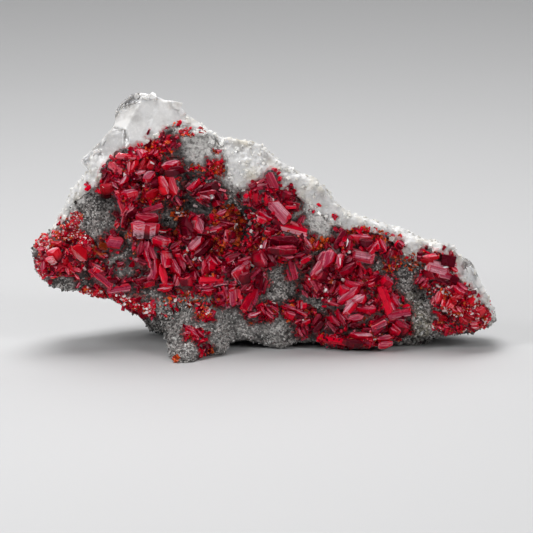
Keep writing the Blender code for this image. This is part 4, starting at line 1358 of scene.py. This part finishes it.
covered(druse, realgar, orange_realgar, bright_realgar, glint_grains.material)
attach(druse, "root")

for node, piece in realgar_pieces.items():
    covered(piece, realgar, crusty.material, orange_realgar, bright_realgar)
    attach(piece, "root")
    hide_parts(node)
print("realgar pieces", len(realgar_pieces) + 1)

# %% [markdown]
# ## What the stones' finishes must know
# Shade is painted on the rock in its hollows, and the rock is paler in some places. Both stones are dusted
# with red around the realgar, where painted shadow also darkens the rock, and where they meet, the rock is
# paler and the calcite greyer. A finish can't see its neighbours, so all this is measured here and stored on
# the points.

# %% Painted shade in the hollows and beside the realgar, and red dust
# Places as in LUMPY_PLACES: shade is painted on the rock's hollows at the first, and it is paler at the
# second.
HOLLOW_SHADE_PLACES = (
    (188, 169, 10, 0.9), (201, 177, 10, 0.8), (180, 155, 7, 0.6), (213, 186, 8, 0.6), (172, 176, 7, 0.6),
    (246, 228, 22, 1.0), (232, 243, 16, 0.9), (250, 212, 12, 1.0), (249, 247, 13, 0.9), (213, 247, 12, 0.8),
    (187, 174, 10, 0.7), (172, 224, 18, 0.6), (110, 206, 16, 0.4), (152, 194, 16, 0.9), (300, 292, 16, 0.4),
    (425, 289, 14, 0.7), (200, 205, 22, 0.7), (348, 228, 12, 0.5), (400, 270, 14, 0.4),
)  # fmt: skip
LIGHT_PLACES = (
    (44, 276, 9, 1.2), (112, 262, 18, 0.6), (98, 228, 14, 0.35), (130, 274, 14, 0.5), (235, 330, 60, 0.5),
    (190, 335, 30, 0.4), (130, 300, 40, 0.3), (312, 222, 26, 1.2), (198, 150, 30, 1.3), (225, 165, 26, 1.4),
    (400, 250, 16, 0.6), (494, 312, 10, 1.6), (488, 326, 8, 1.0),
)  # fmt: skip
REALGAR_REACH = 1.6 * MM
ROCK_CONTACT = 3.5 * MM
CALCITE_CONTACT = 2.2 * MM

red_points = KDTree(sum(len(piece.data.vertices) for piece in realgar_pieces.values()))
for piece in realgar_pieces.values():
    for vertex in piece.data.vertices:
        red_points.insert(vertex.co, 0)
red_points.balance()


def stored(made, name, value):
    """Stores value(point) on each point of the mesh under this name."""
    layer = made.data.attributes.new(name, "FLOAT", "POINT")
    layer.data.foreach_set("value", [value(vertex.co) for vertex in made.data.vertices])


def dust(point):
    """How near a point is to the realgar, from 0 at REALGAR_REACH from it to 1 on it."""
    return max(0.0, 1 - red_points.find(point)[2] / REALGAR_REACH)


def nearness(other, reach):
    """A measure of how near a point is to the other stone, from 0 at this reach to 1."""
    return lambda point: max(0.0, 1 - other.find_nearest(point)[3] / reach)


# The dark places hold the shade that is painted in the rock's hollows.
stored(rock, "dark", lambda point: painted(point, HOLLOW_SHADE_PLACES))
stored(rock, "light", lambda point: painted(point, LIGHT_PLACES))
stored(rock, "lumpy", lambda point: painted(point, LUMPY_PLACES))
stored(rock, "dust", dust)
stored(rock, "contact", nearness(calcite_surface, ROCK_CONTACT))
stored(calcite, "dust", dust)
stored(calcite, "sugary", sugary)
stored(calcite, "contact", nearness(rock_surface, CALCITE_CONTACT))
print("stored on the rock", rock.data.attributes.keys())

# %% [markdown]
# ## The finish of the rock
# Packed quartz grains are grey and white with dark specks between them, and single faces flash. Noise would
# blur them into clouds, so cells give every grain its own grey and its own gloss, and raise it a little.

# %% Grey quartz rock
GRAIN_SIZE = 0.45 * MM
SPECK_SIZE = 0.3 * MM

quartz = Finish("grey quartz rock", ior=1.55)
grain_shade = quartz.cells(GRAIN_SIZE, "Color")
grain_edge = quartz.cells(GRAIN_SIZE, "Distance")
fine_shade = quartz.cells(SPECK_SIZE, "Color")
patchy = quartz.between(quartz.clouds(3.5 * MM, 8), 0.36, 0.64)
grey = quartz.mix((0.050, 0.043, 0.040), (0.29, 0.268, 0.253), patchy)
grey = quartz.mix(grey, (0.235, 0.215, 0.155), quartz.own("lumpy") * 0.8)
speckled = quartz.mix(grey, (0.74, 0.71, 0.68), quartz.between(grain_shade, 0.54, 0.8) * 0.7)
speckled = quartz.mix(speckled, (0.010, 0.008, 0.007), quartz.between(grain_shade, 0.47, 0.25) * 0.85)
speckled = quartz.mix(speckled, (0.05, 0.048, 0.048), quartz.between(fine_shade, 0.4, 0.2) * 0.4)
paleness = quartz.own("light") * 0.6 + quartz.between(quartz.own("contact") + patchy * 0.4, 0.5, 1.1) * 0.8
smudges = quartz.between(quartz.clouds(1.3 * MM, 6), 0.46, 0.64)
sugar = quartz.mix((0.78, 0.76, 0.74), (0.24, 0.23, 0.22), smudges)
lighter = quartz.mix(speckled, sugar, quartz.between(paleness, 0.0, 1.2))
# Painted shadow: next to the realgar the rock darkens to nearly black red.
beside = quartz.mix(lighter, (0.022, 0.006, 0.006), quartz.between(quartz.own("dust"), 0.15, 0.85) * 0.8)
# Painted shade in the rock's hollows.
hollow_shaded = quartz.mix(beside, (0.010, 0.008, 0.009), quartz.own("dark") * 0.95)
dusting = quartz.between(quartz.own("dust") * 0.6 + grain_shade, 1.0, 1.15)
quartz.colour(quartz.mix(hollow_shaded, (0.36, 0.02, 0.02), dusting * 0.75))
quartz.roughness(0.6 - quartz.between(grain_shade, 0.6, 0.95) * 0.4)
quartz.relief((1 - grain_edge) + quartz.clouds(0.25 * MM, 3) * 0.6, 0.34 * MM)
covered(rock, quartz.material)
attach(rock, "root")
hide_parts("matrix_rock")
print("rock's finish", len(quartz.tree.nodes), "nodes")

# %% [markdown]
# ## The finish of the calcite
# Calcite lets some light in, so its edges glow softly instead of ending in hard shade. Subsurface light does
# that without the noise of a wholly clear stone. Faint cream and grey clouds lie over the white, and some of
# the cleavage faces are greyer, because more light passes through them.

# %% White calcite
MILKY_RADIUS = (1.0, 0.95, 0.88)

white = Finish(
    "white calcite",
    ior=1.6,
    subsurface_weight=0.6,
    subsurface_scale=1.5 * MM,
    subsurface_radius=MILKY_RADIUS,
)
veil = white.clouds(4 * MM, 4)
milk = white.mix((0.78, 0.77, 0.76), (0.48, 0.465, 0.45), white.between(veil, 0.45, 0.75))
creaminess = white.between(white.clouds(7 * MM, 2), 0.50, 0.68) * white.own("sugary") * 0.6
cream = white.mix(milk, (0.74, 0.66, 0.50), creaminess)
pink = white.between(white.own("dust") + white.clouds(0.7 * MM, 3), 0.95, 1.4)
stained = white.mix(cream, (0.50, 0.06, 0.05), pink * 0.6)
greyed = white.between(white.own("contact") + white.clouds(1.6 * MM, 4) * 0.8, 1.0, 1.6)
greyer = white.mix(stained, (0.30, 0.29, 0.285), greyed * 0.6)
flaws = white.between(white.clouds(0.9 * MM, 5), 0.52, 0.60)
white.colour(white.mix(greyer, (0.40, 0.40, 0.41), white.own("clear") * (1 - flaws * 0.5) * 0.8))
white.roughness(0.2 + white.own("sugary") * white.clouds(1.1 * MM) * 0.5)
sugar_relief = white.cells(0.9 * MM, "Distance") * 0.5 + white.clouds(0.35 * MM, 3)
white.relief(sugar_relief * (white.own("sugary") * 0.85 + 0.15), 0.16 * MM)
covered(calcite, white.material)
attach(calcite, "root")
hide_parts("calcite_layer")
print("calcite's finish", len(white.tree.nodes), "nodes")

# %% [markdown]
# ## Loose grains
# Small pointed quartz crystals stand all over the grey rock and sparkle, and small white rhombs break the
# calcite's outline. A finish could paint them, but only real grains catch the light one by one. Copies of two
# small shapes with few faces are strewn on random faces of the stones.

# %% A quartz point and a calcite rhomb
POINT_RADIUS = 0.3
POINT_LENGTH = 0.7
TIP_LENGTH = 0.35
RHOMB_SIZE = 0.8
RHOMB_LEAN = (0.25, 0.15)


def quartz_point():
    """A six-sided column that ends in a point, with its middle at the origin."""
    bm = bmesh.new()
    bmesh.ops.create_cone(
        bm,
        cap_ends=True,
        segments=PRISM_SIDES,
        radius1=POINT_RADIUS,
        radius2=POINT_RADIUS,
        depth=POINT_LENGTH,
    )
    top = max(bm.faces, key=lambda face: face.calc_center_median().z)
    tip = bmesh.ops.poke(bm, faces=[top])["verts"]
    bmesh.ops.translate(bm, vec=(0, 0, TIP_LENGTH), verts=tip)
    return shape_of(bm)


def rhomb():
    """A leaning cube, as calcite breaks."""
    bm = bmesh.new()
    bmesh.ops.create_cube(bm, size=RHOMB_SIZE)
    for vertex in bm.verts:
        vertex.co.x += RHOMB_LEAN[0] * vertex.co.z
        vertex.co.y += RHOMB_LEAN[1] * vertex.co.z
    return shape_of(bm)


# %% Strewing grains
STREWN_LEAN = 0.35
ABOVE_GROUND = 0.8 * MM
LIGHTENING = 0.5
DARKENING = 0.9
BARE_CREST = 15 * MM
DUSTY = 0.3
CONTACT_REACH = 1.5 * MM


def shade(point):
    """How much lighter or darker than usual the rock is here: paler in some places, darker where shade is
    painted in its hollows.
    """
    return LIGHTENING * painted(point, LIGHT_PLACES) - DARKENING * painted(point, HOLLOW_SHADE_PLACES)


def strewn(name, made, shape, allowed, count, smallest, largest, seed):
    """Copies of a shape on random allowed faces of a mesh, each turned its own way, as one piece."""
    rng = random.Random(seed)
    faces = [face for face in made.data.polygons if face.center.z > ABOVE_GROUND and allowed(face.center)]
    heap = Heap()
    for face in rng.sample(faces, min(count, len(faces))):
        lean = any_direction(rng)
        out = (face.normal + STREWN_LEAN * lean).normalized()
        place = frame_at(face.center, lean.cross(out), out)
        size = smallest + (largest - smallest) * rng.random() ** 3
        points, faces_of_one, tops = shape
        # The tone takes the paler places and the shade painted in the hollows.
        tone = min(1.0, max(0.0, rng.random() + shade(face.center)))
        heap.add(points * size, faces_of_one, tops, place, tone)
    return heap.made(name)


def off_the_crest(point):
    return (point - CREST).length > BARE_CREST


def off_the_realgar(point):
    return dust(point) < DUSTY


def along_contact(point):
    return all(stone.find_nearest(point)[3] < CONTACT_REACH for stone in (rock_surface, calcite_surface))


# %% [markdown]
# ## Chips on the outline
# Where the calcite's outline is jagged, single chips stand on it. They are blocks whose corners are broken
# off by random cuts, because whole rhombs would look like dice. Each one has the column and row of its middle
# and its depth in millimetres, then its length, width and thickness in columns, and its turn.

# %% Chips
CHIPS = (
    (154, 98, 4.6, 10, 9, 8, 62), (147, 99, 4.4, 8, 7, 8, 20), (137, 97, 5.0, 7, 6, 7, 50),
    (177, 107, 4.2, 12, 9, 8, -8), (182, 114, 4.0, 8, 9, 8, -60), (91, 161, 3.0, 16, 15, 8, 43),
    (96, 153, 2.4, 10, 6, 7, 45), (86, 161, 2.6, 9, 5, 5, 35), (104, 143, 2.8, 7, 5, 6, 50),
    (93, 170, 1.8, 9, 5, 6, -20), (202, 128, 5.0, 8, 6, 8, -35), (213, 134, 5.2, 8, 6, 8, -20),
    (73, 196, 3.0, 7, 5, 6, 50), (450, 248, 0.8, 13, 6, 7, 15), (455, 256, 0.8, 10, 6, 6, -55),
    (485, 297, 1.0, 8, 7, 7, 10), (491, 309, 1.4, 6, 9, 7, 15), (488, 303, 1.0, 6, 7, 6, 50),
    (490, 314, 0.9, 8, 10, 6, 15), (487, 321, 0.3, 7, 6, 5, -40), (444, 267, -2.6, 9, 2, 3, 10),
    (471, 272, 0.0, 19, 11, 8, -52), (476, 281, 0.0, 17, 12, 8, -56), (479, 289, 0.2, 15, 13, 8, -60),
    (474, 291, -1.2, 9, 7, 5, 30),
)  # fmt: skip

# This one makes the pointed beak at the left of the crest and stays whole.
WHOLE_CHIPS = {(91, 161)}
CHIP_SIZE = 0.84
CHIP_CUTS = 6
CUT_DISTANCE = (0.33, 0.46)
LEAN_ASIDE = (-0.3, 0.3)
LEAN_UP = (-0.1, 0.5)
CHIP_EDGE = 0.1 * MM
CHIP_SEED = 21


def chip(rng):
    """A block with broken corners."""
    bm = bmesh.new()
    bmesh.ops.create_cube(bm, size=CHIP_SIZE)
    for _ in range(CHIP_CUTS):
        direction = any_direction(rng).normalized()
        cut_off(bm, direction * rng.uniform(*CUT_DISTANCE), direction)
    merged_faces(bm)
    return shape_of(bm)


chip_heap = Heap()
chip_rng = random.Random(CHIP_SEED)
for column, row, depth, *sizes, turn in CHIPS:
    lean = Vector((chip_rng.uniform(*LEAN_ASIDE), -1, chip_rng.uniform(*LEAN_UP))).normalized()
    place = frame_at(in_depth(column, row, depth), along_turn(turn), lean)
    points, faces, tops = rhomb() if (column, row) in WHOLE_CHIPS else chip(chip_rng)
    chip_heap.add(points * numpy.array(sizes) * COLUMN, faces, tops, place, chip_rng.random())
chips = chip_heap.made("calcite_chips")
bevel = chips.modifiers.new("bevel", "BEVEL")
bevel.width = CHIP_EDGE
bevel.segments = 1
print("chips", len(CHIPS))

# %% [markdown]
# ## The clear lens
# A piece of clear calcite stands behind the white lobe at the right end. Its outline is rounded, so a
# flattened sphere makes it.

# %% A lens
LENS_COLUMN, LENS_ROW, LENS_DEPTH = 467, 267, 0.6
LENS_HALF_SIZES = (11, 6.5, 5)
LENS_TURN = -0.9

lens_bm = bmesh.new()
lens_along = RIGHT * math.cos(LENS_TURN) + UP * math.sin(LENS_TURN)
lens_place = frame_at(in_depth(LENS_COLUMN, LENS_ROW, LENS_DEPTH), lens_along, -SIGHT)
lens_sizes = Matrix.Diagonal((*(half_size * COLUMN for half_size in LENS_HALF_SIZES), 1))
bmesh.ops.create_icosphere(lens_bm, subdivisions=3, radius=1, matrix=lens_place @ lens_sizes)
lens = shaded_smooth(new_object("clear_lens", lens_bm))
print("lens triangles", triangles(lens))

# %% [markdown]
# ## Strewing the grains
# Quartz points keep off the realgar, and rhombs keep off the clean faces of the crest. Larger grains lie
# along the line where the two stones meet, so that it isn't a clean seam. Most are near the smallest size.

# %% Points, rhombs and grains
quartz_points = strewn(
    "quartz_points",
    rock,
    quartz_point(),
    off_the_realgar,
    count=6000,
    smallest=0.4 * MM,
    largest=1.5 * MM,
    seed=11,
)
calcite_rhombs = strewn(
    "calcite_rhombs",
    calcite,
    rhomb(),
    off_the_crest,
    count=3800,
    smallest=0.3 * MM,
    largest=1.1 * MM,
    seed=12,
)
contact_grains = strewn(
    "contact_grains",
    calcite,
    rhomb(),
    along_contact,
    count=2800,
    smallest=0.6 * MM,
    largest=1.7 * MM,
    seed=13,
)
print("quartz points", triangles(quartz_points), "calcite rhombs", triangles(calcite_rhombs))

# %% [markdown]
# ## The finish of the grains
# Quartz points are glassy, from nearly black to nearly white, and a little light passes through them. Rhombs
# are cream and milky like the layer. The lens is see-through by transmission, which bends the light as real
# calcite does, and has a veil of brownish clouds.

# %% Quartz, rhombs and lens
glassy = Finish("quartz points", ior=1.55, transmission_weight=0.25)
dim = glassy.mix((0.012, 0.011, 0.010), (0.28, 0.27, 0.26), glassy.between(glassy.own("tone"), 0.0, 0.7))
glassy.colour(glassy.mix(dim, (0.85, 0.84, 0.82), glassy.between(glassy.own("tone"), 0.7, 1.1)))
glassy.roughness(0.08 + glassy.clouds(0.5 * MM) * 0.25)
covered(quartz_points, glassy.material)
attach(quartz_points, "root")

milky = Finish(
    "calcite rhombs",
    ior=1.6,
    subsurface_weight=0.5,
    subsurface_scale=0.8 * MM,
    subsurface_radius=MILKY_RADIUS,
)
milky.colour(milky.mix((0.50, 0.475, 0.43), (0.88, 0.865, 0.83), milky.own("tone")))
milky.roughness(0.15 + milky.clouds(0.6 * MM) * 0.3)

clear = Finish("clear calcite", ior=1.55, transmission_weight=0.85)
brownish = clear.between(clear.clouds(1.2 * MM), 0.4, 0.65)
clear.colour(clear.mix((0.90, 0.89, 0.88), (0.62, 0.56, 0.55), brownish))
clear.roughness(0.05 + clear.clouds(0.8 * MM) * 0.2)

covered(lens, clear.material)
covered(chips, white.material)
covered(calcite_rhombs, milky.material)
covered(contact_grains, milky.material)
for piece in (lens, chips, calcite_rhombs, contact_grains):
    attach(piece, "root")
print("materials", len(bpy.data.materials))
